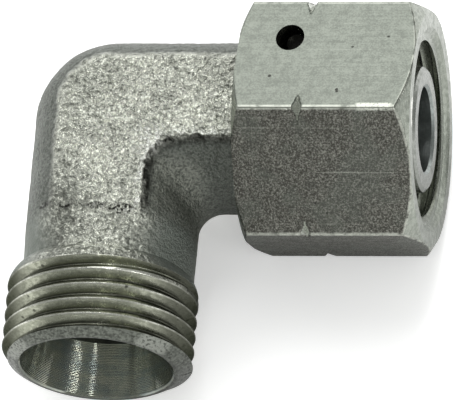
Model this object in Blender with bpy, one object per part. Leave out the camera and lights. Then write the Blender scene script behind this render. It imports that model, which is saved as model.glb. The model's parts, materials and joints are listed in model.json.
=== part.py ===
"""A 90 degree swivel-nut elbow for 12 mm hydraulic tube, lying as it comes to rest.

The forged elbow carries a threaded male end with a 24 degree cone socket on its leg, and a
24 degree cone nose on its arm. A hexagon nut swivels on the arm, held by a ring of wire that
was fed through a hole in one of its flats. A rubber ring seals the nose.

Elbow frame: the nut's axis is +X, the leg points along -Y, and Z is square to both. The
origin is where the two axes cross. Lengths are in metres.
"""
import math

import bmesh
import bpy
from mathutils import Matrix, Vector

MM = 0.001

# Clearance between pieces that touch or run on each other
FIT_GAP = 0.3 * MM

# Forged elbow: half widths at the parting plane, and the flat land on its top and bottom
ARM_HALF_WIDTH = 7.8 * MM
LEG_HALF_WIDTH = 8.0 * MM
LEG_SHIFT = 0.35 * MM
LAND_HALF_WIDTH = 4.0 * MM
LAND_HEIGHT = 8.0 * MM
LAND_CROWN = 0.2 * MM
CROWN_INSET = 1.4 * MM
OUTER_CORNER_RADIUS = 8.1 * MM
INNER_CORNER_RADIUS = 2.3 * MM
INNER_CORNER_GROWTH = 0.25
ARM_FORGED_LENGTH = 12.6 * MM
LEG_FORGED_LENGTH = 12.8 * MM
LAND_END_SLOPE = 0.3
NECK_OVERLAP = 6.0 * MM

# Male end on the leg: M18 x 1.5, with a 24 degree cone socket for a 12 mm tube
MALE_FACE = 24.3 * MM
THREAD_MAJOR_RADIUS = 8.95 * MM
THREAD_PITCH = 1.5 * MM
THREAD_DEPTH = 0.6134 * THREAD_PITCH
THREAD_ROOT_WIDTH = THREAD_PITCH / 6
THREAD_CREST_WIDTH = THREAD_PITCH / 8
THREAD_FLANK_ANGLE = math.radians(30)
FEMALE_THREAD_DEPTH = 0.5413 * THREAD_PITCH
THREAD_GROOVE_SETBACK = 1.1 * MM
THREAD_LEAD_IN_TURNS = 1.5
THREAD_RUNOUT_TURNS = 0.5
THREAD_CHAMFER_LENGTH = 0.8 * MM
THREAD_CHAMFER_DEPTH = 1.3 * MM
NECK_LENGTH = 1.75 * MM
SHOULDER_LENGTH = 2.65 * MM
SHOULDER_POWER = 2.4
CONE_HALF_ANGLE = math.radians(12)
CONE_MOUTH_RADIUS = 7.15 * MM
SOCKET_EDGE_BREAK = 0.13 * MM
TUBE_BORE_RADIUS = 6.1 * MM
TUBE_STOP_DEPTH = 7.0 * MM
LEG_BORE_RADIUS = 5.0 * MM
LEG_BORE_OVERRUN = 2.0 * MM
DRILL_HALF_ANGLE = math.radians(59)

# Turned arm inside the nut, ending in the cone nose
STEM_RADIUS = 6.9 * MM
NOSE_RECESS = 0.45 * MM
NOSE_END_RADIUS = 5.8 * MM
NOSE_EDGE_BREAK = 0.25 * MM
NOSE_BORE_RADIUS = 4.0 * MM

# Rubber ring in its groove on the nose
RING_SECTION_RADIUS = 0.75 * MM
RING_SETBACK = 2.8 * MM
RING_GROOVE_FLOOR = 5.0 * MM

# Swivel nut: 22 mm across flats
NUT_ACROSS_FLATS = 22.0 * MM
NUT_LENGTH = 16.75 * MM
NUT_BACK_GAP = 0.4 * MM
NUT_BACK_CHAMFER_ANGLE = math.radians(30)
NUT_BACK_CHAMFER_RECESS = 0.84 * MM
NUT_FRONT_CHAMFER_ANGLE = math.radians(35)
NUT_FRONT_CHAMFER_RECESS = 1.2 * MM
NUT_MOUTH_FLARE = 0.95 * MM
NUT_MOUTH_DEPTH = 0.95 * MM
NUT_COLLAR_LENGTH = 7.3 * MM
NUT_REAR_EDGE_BREAK = 0.5 * MM
NOTCH_SETBACK = 6.4 * MM
NOTCH_FLOOR_RADIUS = 12.0 * MM
NUT_SWIVEL = math.radians(15.4)

# Retaining wire, its plane and the hole it was fed through
WIRE_RADIUS = 0.9 * MM
WIRE_SETBACK = 4.8 * MM
WIRE_HOLE_RADIUS = 1.34 * MM
WIRE_HOLE_OFFSET = 2.0 * MM
WIRE_END_DEPTH = 3.2 * MM
WIRE_TURN = math.radians(308)

# Facets round a full turn, round a wire's section, and along a corner's arc
ROUND_STEPS = 48
WIRE_STEPS = 10
CORNER_STEPS = 9
SECTION_STEPS = 5
CUT_ALLOWANCE = 1.0 * MM
GROOVE_ALLOWANCE = 0.05 * MM
MERGE_DISTANCE = 0.001 * MM

# Sizes worked out from the ones above
MALE_FACE_RADIUS = THREAD_MAJOR_RADIUS - THREAD_CHAMFER_DEPTH
THREAD_START = LEG_FORGED_LENGTH + NECK_LENGTH + SHOULDER_LENGTH
FIRST_GROOVE = MALE_FACE - THREAD_GROOVE_SETBACK
THREAD_TURNS = (FIRST_GROOVE - THREAD_START) / THREAD_PITCH + THREAD_RUNOUT_TURNS
NUT_BACK = ARM_FORGED_LENGTH + NUT_BACK_GAP
NUT_END = NUT_BACK + NUT_LENGTH
NOSE_END = NUT_END - NOSE_RECESS
NUT_HALF_FLATS = NUT_ACROSS_FLATS / 2
NUT_CORNER_RADIUS = NUT_HALF_FLATS / math.cos(math.radians(30))
NUT_BORE_RADIUS = STEM_RADIUS + FIT_GAP
NUT_THREAD_RADIUS = THREAD_MAJOR_RADIUS - FEMALE_THREAD_DEPTH
NUT_MOUTH_RADIUS = THREAD_MAJOR_RADIUS + NUT_MOUTH_FLARE
WIRE_RING_RADIUS = (STEM_RADIUS + NUT_BORE_RADIUS) / 2
WIRE_GROOVE_RADIUS = WIRE_RADIUS + FIT_GAP
WIRE_PLANE = NUT_BACK + WIRE_SETBACK
NOSE_CONE_LENGTH = (STEM_RADIUS - NOSE_END_RADIUS) / math.tan(CONE_HALF_ANGLE)


def clear_scene():
    """Empty the scene, so that only the model is in it."""
    for item in list(bpy.data.objects):
        bpy.data.objects.remove(item, do_unlink=True)


def finish_material(name, colour, roughness, metallic):
    """Return a plain material of one colour."""
    material = bpy.data.materials.new(name)
    material.use_nodes = True
    shader = material.node_tree.nodes["Principled BSDF"]
    shader.inputs["Base Color"].default_value = (*colour, 1.0)
    shader.inputs["Roughness"].default_value = roughness
    shader.inputs["Metallic"].default_value = metallic
    return material


def add_object(name, shape, parent, material=None):
    """Put a bmesh into the scene as a named, smooth-shaded object."""
    bmesh.ops.recalc_face_normals(shape, faces=shape.faces)
    mesh = bpy.data.meshes.new(name)
    shape.to_mesh(mesh)
    shape.free()
    item = bpy.data.objects.new(name, mesh)
    bpy.context.scene.collection.objects.link(item)
    item.parent = parent
    if material:
        mesh.materials.append(material)
    mesh.shade_smooth()
    mesh.set_sharp_from_angle(angle=math.radians(30))
    return item


def add_cutter(name, shape, parent):
    """Put a bmesh into the scene as a tool for a Boolean, left out of the model."""
    cutter = add_object(name, shape, parent)
    cutter.hide_render = True
    cutter.display_type = "WIRE"
    return cutter


def combine(target, tool, operation):
    """Join, cut or intersect a solid with a tool."""
    step = target.modifiers.new(f"{operation.lower()}_{tool.name}", "BOOLEAN")
    step.operation = operation
    step.object = tool
    step.solver = "EXACT"


def add_empty(name, turn_x, parent=None):
    """Add an empty at its parent's origin, turned about the X axis."""
    empty = bpy.data.objects.new(name, None)
    bpy.context.scene.collection.objects.link(empty)
    empty.parent = parent
    empty.rotation_euler = (turn_x, 0.0, 0.0)
    return empty


def spin_profile(profile, axis, start, closed):
    """Turn a profile of (distance along axis, radius) points about an axis through the origin.

    A closed profile is a loop clear of the axis. An open one is closed by its own end points
    on the axis. start is the direction of the first row of points.
    """
    axis = Vector(axis)
    start = Vector(start)
    points = list(profile)
    if not closed:
        points = [(points[0][0], 0.0)] + points + [(points[-1][0], 0.0)]
    shape = bmesh.new()
    row = [shape.verts.new(axis * along + start * radius) for along, radius in points]
    edges = [shape.edges.new(pair) for pair in zip(row, row[1:])]
    if closed:
        edges.append(shape.edges.new((row[-1], row[0])))
    bmesh.ops.spin(
        shape,
        geom=row + edges,
        cent=(0.0, 0.0, 0.0),
        axis=axis,
        angle=2 * math.pi,
        steps=ROUND_STEPS,
        use_merge=True,
    )
    bmesh.ops.remove_doubles(shape, verts=shape.verts, dist=MERGE_DISTANCE)
    return shape


def circle_profile(along, radius, section_radius, steps):
    """Return the loop of a round section centred on (along, radius)."""
    angles = [2 * math.pi * step / steps for step in range(steps)]
    return [
        (along + section_radius * math.cos(angle), radius + section_radius * math.sin(angle))
        for angle in angles
    ]


def arc_points(centre, radius, first, last):
    """Return points on an arc in the XY plane, from one angle to another in degrees."""
    angles = [
        math.radians(first + (last - first) * step / CORNER_STEPS)
        for step in range(CORNER_STEPS + 1)
    ]
    return [
        (centre[0] + radius * math.cos(angle), centre[1] + radius * math.sin(angle))
        for angle in angles
    ]


def elbow_outline(inset):
    """Return the elbow's outline seen from above, drawn in by an inset from its parting line."""
    arm = ARM_HALF_WIDTH - inset
    leg_outer = LEG_SHIFT - LEG_HALF_WIDTH + inset
    leg_inner = LEG_SHIFT + LEG_HALF_WIDTH - inset
    leg_end = -LEG_FORGED_LENGTH + LAND_END_SLOPE * inset
    outer_radius = OUTER_CORNER_RADIUS - inset
    inner_radius = INNER_CORNER_RADIUS + INNER_CORNER_GROWTH * inset
    outer_centre = (leg_outer + outer_radius, arm - outer_radius)
    inner_centre = (leg_inner + inner_radius, -arm - inner_radius)
    return [
        *arc_points(outer_centre, outer_radius, 90, 180),
        (leg_outer, leg_end),
        (leg_inner, leg_end),
        *arc_points(inner_centre, inner_radius, 180, 90),
        (ARM_FORGED_LENGTH, -arm),
        (ARM_FORGED_LENGTH, arm),
    ]


def forging_levels():
    """Return (height, inset) pairs from the parting plane up to the crown of the land.

    The wall is an arc, upright at the parting plane, that meets the edge of the land.
    """
    run = ARM_HALF_WIDTH - LAND_HALF_WIDTH
    wall_radius = (run**2 + LAND_HEIGHT**2) / (2 * run)
    top_angle = math.asin(LAND_HEIGHT / wall_radius)
    angles = [top_angle * step / SECTION_STEPS for step in range(SECTION_STEPS + 1)]
    levels = [
        (wall_radius * math.sin(angle), wall_radius * (1 - math.cos(angle))) for angle in angles
    ]
    levels.append((LAND_HEIGHT + LAND_CROWN, run + CROWN_INSET))
    return levels


def loft(rows):
    """Join rows of points, each a closed loop, into one solid with an end face on each end."""
    shape = bmesh.new()
    loops = [[shape.verts.new(point) for point in row] for row in rows]
    for low, high in zip(loops, loops[1:]):
        for index in range(len(low)):
            following = (index + 1) % len(low)
            shape.faces.new((low[index], low[following], high[following], high[index]))
    shape.faces.new(reversed(loops[0]))
    shape.faces.new(loops[-1])
    return shape


def forged_block():
    """Loft the elbow's outline from its lower land to its upper land."""
    upper = forging_levels()
    lower = [(-height, inset) for height, inset in reversed(upper[1:])]
    return loft(
        [(x, y, height) for x, y in elbow_outline(inset)] for height, inset in lower + upper
    )


def shoulder_points():
    """Return the round shoulder behind the thread, from its crest down inside the neck."""
    height = THREAD_MAJOR_RADIUS - (LEG_HALF_WIDTH - LEG_SHIFT - FIT_GAP)
    shares = [step / SECTION_STEPS for step in range(SECTION_STEPS + 1)]
    return [
        (
            THREAD_START - SHOULDER_LENGTH * share,
            THREAD_MAJOR_RADIUS - height * share**SHOULDER_POWER,
        )
        for share in shares
    ]


def thread_groove():
    """Return the right-hand helical groove that cuts the male thread.

    Turns are counted from the groove's place on top of the leg, next to the male face. The
    groove comes in from outside the face, and rises out of the shoulder at its other end.
    """
    half_root = THREAD_ROOT_WIDTH / 2
    half_mouth = half_root + (THREAD_DEPTH + GROOVE_ALLOWANCE) * math.tan(THREAD_FLANK_ANGLE)
    section = [
        (-half_mouth, GROOVE_ALLOWANCE),
        (-half_root, -THREAD_DEPTH),
        (half_root, -THREAD_DEPTH),
        (half_mouth, GROOVE_ALLOWANCE),
    ]
    first_step = round(-THREAD_TURNS * ROUND_STEPS)
    last_step = round(THREAD_LEAD_IN_TURNS * ROUND_STEPS)
    rows = []
    for step in range(first_step, last_step):
        turn = (step + 0.5) / ROUND_STEPS
        risen = max(0.0, 1.0 - (turn + THREAD_TURNS) / THREAD_RUNOUT_TURNS)
        radius = THREAD_MAJOR_RADIUS + risen * (THREAD_DEPTH + GROOVE_ALLOWANCE)
        along = FIRST_GROOVE + turn * THREAD_PITCH
        outward = Vector((-math.sin(2 * math.pi * turn), 0.0, math.cos(2 * math.pi * turn)))
        rows.append(
            [outward * (radius + rise) - Vector((0.0, along + aside, 0.0)) for aside, rise in section]
        )
    return loft(rows)


def build_elbow_body(frame, material):
    """Build the forged elbow with its male end, its nose and its bores."""
    body = add_object("elbow_body", forged_block(), frame, material)

    neck_start = LEG_FORGED_LENGTH - NECK_OVERLAP
    neck_profile = [(THREAD_START, LEG_HALF_WIDTH), (neck_start, LEG_HALF_WIDTH)]
    neck = spin_profile(neck_profile, (0, -1, 0), (0, 0, -1), closed=False)
    neck_tool = add_cutter("neck_blank", neck, frame)
    neck_tool.location.x = LEG_SHIFT
    combine(body, neck_tool, "UNION")

    leg_profile = [
        (MALE_FACE, MALE_FACE_RADIUS),
        (MALE_FACE - THREAD_CHAMFER_LENGTH, THREAD_MAJOR_RADIUS),
        *shoulder_points(),
    ]
    male_end = spin_profile(leg_profile, (0, -1, 0), (0, 0, -1), closed=False)
    combine(body, add_cutter("male_end_blank", male_end, frame), "UNION")
    combine(body, add_cutter("thread_groove", thread_groove(), frame), "DIFFERENCE")

    cone_back = NOSE_END - NOSE_EDGE_BREAK
    ring_plane = NOSE_END - RING_SETBACK
    groove_half = RING_SECTION_RADIUS + FIT_GAP
    stem_profile = [
        (0.0, STEM_RADIUS),
        (NOSE_END - NOSE_CONE_LENGTH, STEM_RADIUS),
        (cone_back, NOSE_END_RADIUS),
        (NOSE_END, NOSE_END_RADIUS - NOSE_EDGE_BREAK),
    ]
    stem = spin_profile(stem_profile, (1, 0, 0), (0, 0, 1), closed=False)
    combine(body, add_cutter("stem_blank", stem, frame), "UNION")

    socket_depth = (CONE_MOUTH_RADIUS - TUBE_BORE_RADIUS) / math.tan(CONE_HALF_ANGLE)
    mouth = MALE_FACE - SOCKET_EDGE_BREAK
    drill_tip = LEG_BORE_RADIUS / math.tan(DRILL_HALF_ANGLE)
    socket_profile = [
        (MALE_FACE + CUT_ALLOWANCE, CONE_MOUTH_RADIUS + SOCKET_EDGE_BREAK + CUT_ALLOWANCE),
        (mouth, CONE_MOUTH_RADIUS),
        (mouth - socket_depth, TUBE_BORE_RADIUS),
        (MALE_FACE - TUBE_STOP_DEPTH, TUBE_BORE_RADIUS),
        (MALE_FACE - TUBE_STOP_DEPTH, LEG_BORE_RADIUS),
        (-LEG_BORE_OVERRUN, LEG_BORE_RADIUS),
        (-LEG_BORE_OVERRUN - drill_tip, 0.0),
    ]
    socket = spin_profile(socket_profile, (0, -1, 0), (0, 0, -1), closed=False)
    combine(body, add_cutter("socket_and_leg_bore", socket, frame), "DIFFERENCE")

    bore_profile = [
        (NOSE_END + CUT_ALLOWANCE, NOSE_BORE_RADIUS + NOSE_EDGE_BREAK + CUT_ALLOWANCE),
        (NOSE_END - NOSE_EDGE_BREAK, NOSE_BORE_RADIUS),
        (0.0, NOSE_BORE_RADIUS),
    ]
    bore = spin_profile(bore_profile, (1, 0, 0), (0, 0, 1), closed=False)
    combine(body, add_cutter("nose_bore", bore, frame), "DIFFERENCE")

    ring_groove = [
        (ring_plane - groove_half, RING_GROOVE_FLOOR),
        (ring_plane + groove_half, RING_GROOVE_FLOOR),
        (ring_plane + groove_half, STEM_RADIUS + CUT_ALLOWANCE),
        (ring_plane - groove_half, STEM_RADIUS + CUT_ALLOWANCE),
    ]
    groove = spin_profile(ring_groove, (1, 0, 0), (0, 0, 1), closed=True)
    combine(body, add_cutter("ring_groove", groove, frame), "DIFFERENCE")

    wire_groove = circle_profile(WIRE_PLANE, WIRE_RING_RADIUS, WIRE_GROOVE_RADIUS, WIRE_STEPS)
    groove = spin_profile(wire_groove, (1, 0, 0), (0, 0, 1), closed=True)
    combine(body, add_cutter("stem_wire_groove", groove, frame), "DIFFERENCE")
    return body


def build_seal_ring(frame, material):
    """Build the rubber ring that sits in the groove on the nose."""
    centre_radius = RING_GROOVE_FLOOR + FIT_GAP + RING_SECTION_RADIUS
    ring_plane = NOSE_END - RING_SETBACK
    section = circle_profile(ring_plane, centre_radius, RING_SECTION_RADIUS, WIRE_STEPS)
    ring = spin_profile(section, (1, 0, 0), (0, 0, 1), closed=True)
    return add_object("o_ring", ring, frame, material)


def hexagon_prism():
    """Return the nut's bar: a hexagon with a flat facing +Z, from back to end."""
    shape = bmesh.new()
    corners = []
    for index in range(6):
        angle = math.radians(30 + 60 * index)
        y = NUT_CORNER_RADIUS * math.sin(angle)
        z = NUT_CORNER_RADIUS * math.cos(angle)
        corners.append(shape.verts.new((NUT_BACK, y, z)))
    face = shape.faces.new(corners)
    swept = bmesh.ops.extrude_face_region(shape, geom=[face])
    moved = [item for item in swept["geom"] if isinstance(item, bmesh.types.BMVert)]
    bmesh.ops.translate(shape, verts=moved, vec=(NUT_LENGTH, 0.0, 0.0))
    return shape


def nut_envelope():
    """Return the turned outline that chamfers the hexagon's ends and notches its corners."""
    outside = NUT_CORNER_RADIUS + CUT_ALLOWANCE
    back_slope = math.tan(NUT_BACK_CHAMFER_ANGLE)
    front_slope = math.tan(NUT_FRONT_CHAMFER_ANGLE)
    notch_plane = NUT_BACK + NOTCH_SETBACK
    notch_half = outside - NOTCH_FLOOR_RADIUS
    back_edge = NUT_BACK + NUT_BACK_CHAMFER_RECESS
    front_edge = NUT_END - NUT_FRONT_CHAMFER_RECESS
    back_start = NUT_BACK - CUT_ALLOWANCE
    front_finish = NUT_END + CUT_ALLOWANCE
    profile = [
        (back_start, NUT_CORNER_RADIUS - (back_edge - back_start) / back_slope),
        (back_edge + CUT_ALLOWANCE * back_slope, outside),
        (notch_plane - notch_half, outside),
        (notch_plane, NOTCH_FLOOR_RADIUS),
        (notch_plane + notch_half, outside),
        (front_edge - CUT_ALLOWANCE * front_slope, outside),
        (front_finish, NUT_CORNER_RADIUS - (front_finish - front_edge) / front_slope),
    ]
    corner = (0.0, math.sin(math.radians(30)), math.cos(math.radians(30)))
    return spin_profile(profile, (1, 0, 0), corner, closed=False)


def wire_hole_slant():
    """Return the angle between the hole's axis and the flat's normal.

    The hole starts on the flat, off its middle line, and runs down tangent to the wire's ring.
    """
    reach = math.hypot(WIRE_HOLE_OFFSET, NUT_HALF_FLATS)
    return math.asin(WIRE_RING_RADIUS / reach) - math.atan2(WIRE_HOLE_OFFSET, NUT_HALF_FLATS)


def wire_hole_point(distance):
    """Return a point on the hole's axis, at a distance outward from where it meets the ring."""
    slant = wire_hole_slant()
    tangent_point = Vector((0.0, math.cos(slant), math.sin(slant))) * WIRE_RING_RADIUS
    outward = Vector((0.0, -math.sin(slant), math.cos(slant)))
    return Vector((WIRE_PLANE, 0.0, 0.0)) + tangent_point + outward * distance


def wire_hole_length():
    """Return the distance from the ring, along the hole, to the flat."""
    reach = math.hypot(WIRE_HOLE_OFFSET, NUT_HALF_FLATS)
    return math.sqrt(reach**2 - WIRE_RING_RADIUS**2)


def build_swivel_nut(frame, material):
    """Build the hexagon nut with its collar, female thread bore and wire hole."""
    nut = add_object("swivel_nut", hexagon_prism(), frame, material)
    combine(nut, add_cutter("nut_outline", nut_envelope(), frame), "INTERSECT")

    collar_end = NUT_BACK + NUT_COLLAR_LENGTH
    thread_step = NUT_THREAD_RADIUS - NUT_BORE_RADIUS
    mouth_slope = NUT_MOUTH_FLARE / NUT_MOUTH_DEPTH
    bore_profile = [
        (NUT_BACK - CUT_ALLOWANCE, NUT_BORE_RADIUS + NUT_REAR_EDGE_BREAK + CUT_ALLOWANCE),
        (NUT_BACK + NUT_REAR_EDGE_BREAK, NUT_BORE_RADIUS),
        (collar_end, NUT_BORE_RADIUS),
        (collar_end + thread_step, NUT_THREAD_RADIUS),
        (NUT_END - NUT_MOUTH_DEPTH, NUT_THREAD_RADIUS),
        (NUT_END - NUT_MOUTH_DEPTH, THREAD_MAJOR_RADIUS),
        (NUT_END + CUT_ALLOWANCE, NUT_MOUTH_RADIUS + CUT_ALLOWANCE * mouth_slope),
    ]
    bore = spin_profile(bore_profile, (1, 0, 0), (0, 0, 1), closed=False)
    combine(nut, add_cutter("nut_bore", bore, frame), "DIFFERENCE")

    wire_groove = circle_profile(WIRE_PLANE, WIRE_RING_RADIUS, WIRE_GROOVE_RADIUS, WIRE_STEPS)
    groove = spin_profile(wire_groove, (1, 0, 0), (0, 0, 1), closed=True)
    combine(nut, add_cutter("nut_wire_groove", groove, frame), "DIFFERENCE")

    length = wire_hole_length() + CUT_ALLOWANCE
    shape = bmesh.new()
    bmesh.ops.create_cone(
        shape,
        cap_ends=True,
        segments=ROUND_STEPS // 2,
        radius1=WIRE_HOLE_RADIUS,
        radius2=WIRE_HOLE_RADIUS,
        depth=length,
    )
    turn = Matrix.Rotation(wire_hole_slant(), 4, "X")
    place = Matrix.Translation(wire_hole_point(length / 2)) @ turn
    bmesh.ops.transform(shape, matrix=place, verts=shape.verts)
    combine(nut, add_cutter("wire_hole", shape, frame), "DIFFERENCE")
    return nut


def wire_path():
    """Return the wire's middle line: down the hole, then round in the groove."""
    slant = wire_hole_slant()
    tail_length = wire_hole_length() - WIRE_END_DEPTH
    tail_steps = 3
    path = [wire_hole_point(tail_length * (1 - step / tail_steps)) for step in range(tail_steps)]
    ring_steps = round(ROUND_STEPS * WIRE_TURN / (2 * math.pi))
    for step in range(ring_steps + 1):
        angle = slant - WIRE_TURN * step / ring_steps
        y = WIRE_RING_RADIUS * math.cos(angle)
        z = WIRE_RING_RADIUS * math.sin(angle)
        path.append(Vector((WIRE_PLANE, y, z)))
    return path


def build_retaining_wire(frame, material):
    """Build the wire as a round bar swept along its path in the plane of its groove."""
    path = wire_path()
    side = Vector((1.0, 0.0, 0.0))
    rows = []
    for index, point in enumerate(path):
        before = path[max(index - 1, 0)]
        after = path[min(index + 1, len(path) - 1)]
        outward = (after - before).normalized().cross(side)
        row = []
        for step in range(WIRE_STEPS):
            angle = 2 * math.pi * step / WIRE_STEPS
            offset = side * math.cos(angle) + outward * math.sin(angle)
            row.append(point + offset * WIRE_RADIUS)
        rows.append(row)
    return add_object("retaining_wire", loft(rows), frame, material)


def resting_dip():
    """Return how far the leg dips when the fitting lies down.

    It stands on the nut's lowest corner edge and on the last full crest of the male thread,
    which lies half a turn on from the groove on top of the leg.
    """
    corner = NUT_SWIVEL + math.radians(150)
    corner_y = NUT_CORNER_RADIUS * math.sin(corner)
    corner_drop = -NUT_CORNER_RADIUS * math.cos(corner)
    crest_y = FIRST_GROOVE + THREAD_CREST_WIDTH / 2
    return math.atan2(corner_drop - THREAD_MAJOR_RADIUS, corner_y + crest_y)


def set_on_floor(frame, pieces):
    """Move the whole fitting so that it stands on the floor, centred over the origin."""
    bpy.context.view_layer.update()
    graph = bpy.context.evaluated_depsgraph_get()
    points = []
    for piece in pieces:
        solid = piece.evaluated_get(graph)
        points += [solid.matrix_world @ vertex.co for vertex in solid.data.vertices]
    lowest = Vector([min(point[axis] for point in points) for axis in range(3)])
    highest = Vector([max(point[axis] for point in points) for axis in range(3)])
    middle = (lowest + highest) / 2
    frame.location -= Vector((middle.x, middle.y, lowest.z))
    bpy.context.view_layer.update()


def main():
    """Build the fitting and lay it down."""
    clear_scene()
    zinc = finish_material("forged_zinc", (0.42, 0.44, 0.40), 0.45, 1.0)
    nut_zinc = finish_material("nut_zinc", (0.45, 0.47, 0.43), 0.35, 1.0)
    spring_wire = finish_material("spring_wire", (0.50, 0.50, 0.48), 0.3, 1.0)
    rubber = finish_material("seal_rubber", (0.02, 0.02, 0.02), 0.6, 0.0)

    elbow_frame = add_empty("elbow_frame", resting_dip())
    nut_axis = add_empty("nut_axis", -NUT_SWIVEL, parent=elbow_frame)
    pieces = [
        build_elbow_body(elbow_frame, zinc),
        build_seal_ring(elbow_frame, rubber),
        build_swivel_nut(nut_axis, nut_zinc),
        build_retaining_wire(nut_axis, spring_wire),
    ]
    set_on_floor(elbow_frame, pieces)


main()
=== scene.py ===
"""Dresses the swivel-nut elbow: forged skin, cut threads, drawn hexagon, light and camera."""
import json
import logging
import math
from dataclasses import dataclass
from enum import Enum
from typing import Any, Sequence

import bmesh
import bpy
import numpy as np
from mathutils import Matrix, Vector, noise


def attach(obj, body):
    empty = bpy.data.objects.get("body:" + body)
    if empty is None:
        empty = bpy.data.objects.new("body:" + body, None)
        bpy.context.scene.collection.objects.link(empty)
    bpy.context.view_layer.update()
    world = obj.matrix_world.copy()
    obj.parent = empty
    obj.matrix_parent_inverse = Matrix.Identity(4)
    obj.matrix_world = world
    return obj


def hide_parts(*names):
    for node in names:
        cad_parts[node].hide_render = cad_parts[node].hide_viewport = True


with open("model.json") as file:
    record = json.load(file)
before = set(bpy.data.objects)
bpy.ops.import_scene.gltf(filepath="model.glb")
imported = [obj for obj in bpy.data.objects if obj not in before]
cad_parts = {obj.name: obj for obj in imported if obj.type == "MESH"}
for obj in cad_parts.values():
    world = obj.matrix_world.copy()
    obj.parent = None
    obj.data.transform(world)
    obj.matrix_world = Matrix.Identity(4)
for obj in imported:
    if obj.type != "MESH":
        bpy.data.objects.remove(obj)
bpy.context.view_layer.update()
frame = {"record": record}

LOG = logging.getLogger("swivel_elbow")
MM = 0.001
WORLD_X = Vector((1.0, 0.0, 0.0))
WELD_DISTANCE = 0.0005 * MM
HALF_HEX_SECTOR = math.radians(30)
HEX_SECTOR = math.radians(60)
FLANK_ANGLE = math.radians(30)
MALE_THREAD_DEPTH = 0.6134  # Both depths are shares of the thread's pitch.
FEMALE_THREAD_DEPTH = 0.5413

Triple = tuple[float, float, float]
Colour = tuple[float, float, float]
Span = tuple[float, float]
Band = tuple[Span, Span]
Profile = list[tuple[float, float]]


class Cut(Enum):
    """How a tool solid changes the solid it is applied to."""

    JOIN = "UNION"
    REMOVE = "DIFFERENCE"


class ThreadSide(Enum):
    """Whether a thread is cut into a bar or into a bore."""

    MALE = -1.0
    FEMALE = 1.0


@dataclass(frozen=True)
class Grain:
    """A fractal noise: the size of its grains in metres, its octaves and their strength."""

    size: float
    detail: float = 2.0
    roughness: float = 0.55


@dataclass(frozen=True)
class Signal:
    """A shader socket that works in arithmetic."""

    graph: "Graph"
    socket: bpy.types.NodeSocket

    def __add__(self, other: "Signal | float") -> "Signal":
        """Add."""
        return self.graph.math("ADD", self, other)

    __radd__ = __add__

    def __mul__(self, other: "Signal | float") -> "Signal":
        """Multiply."""
        return self.graph.math("MULTIPLY", self, other)

    __rmul__ = __mul__

    def __sub__(self, other: "Signal | float") -> "Signal":
        """Subtract."""
        return self.graph.math("SUBTRACT", self, other)

    def __rsub__(self, other: float) -> "Signal":
        """Subtract this signal from a number."""
        return self.graph.math("SUBTRACT", other, self)

    def __pow__(self, power: float) -> "Signal":
        """Raise to a power."""
        return self.graph.math("POWER", self, power)

    def __abs__(self) -> "Signal":
        """Drop the sign."""
        return self.graph.math("ABSOLUTE", self)

    def ramp(self, low: float, high: float) -> "Signal":
        """Rise smoothly from 0 to 1 between two values, or fall if low is above high.

        Args:
            low: The value at which the result is 0.
            high: The value at which it is 1.

        Returns:
            The share of the way from one to the other.
        """
        limits = (low, high, 0.0, 1.0) if low < high else (high, low, 1.0, 0.0)
        inputs = {"Value": self, "From Min": limits[0], "From Max": limits[1]}
        inputs |= {"To Min": limits[2], "To Max": limits[3]}
        node = self.graph.node("ShaderNodeMapRange", {"interpolation_type": "SMOOTHSTEP"}, inputs)
        return Signal(self.graph, node.outputs["Result"])

    def band(self, rise: Span, fall: Span) -> "Signal":
        """Rise over one span of values and fall again over another."""
        return self.ramp(*rise) * self.ramp(*fall)

    def spread(self, low: float, high: float) -> "Signal":
        """Give one value where the signal is 0 and another where it is 1."""
        return self * (high - low) + low


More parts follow.
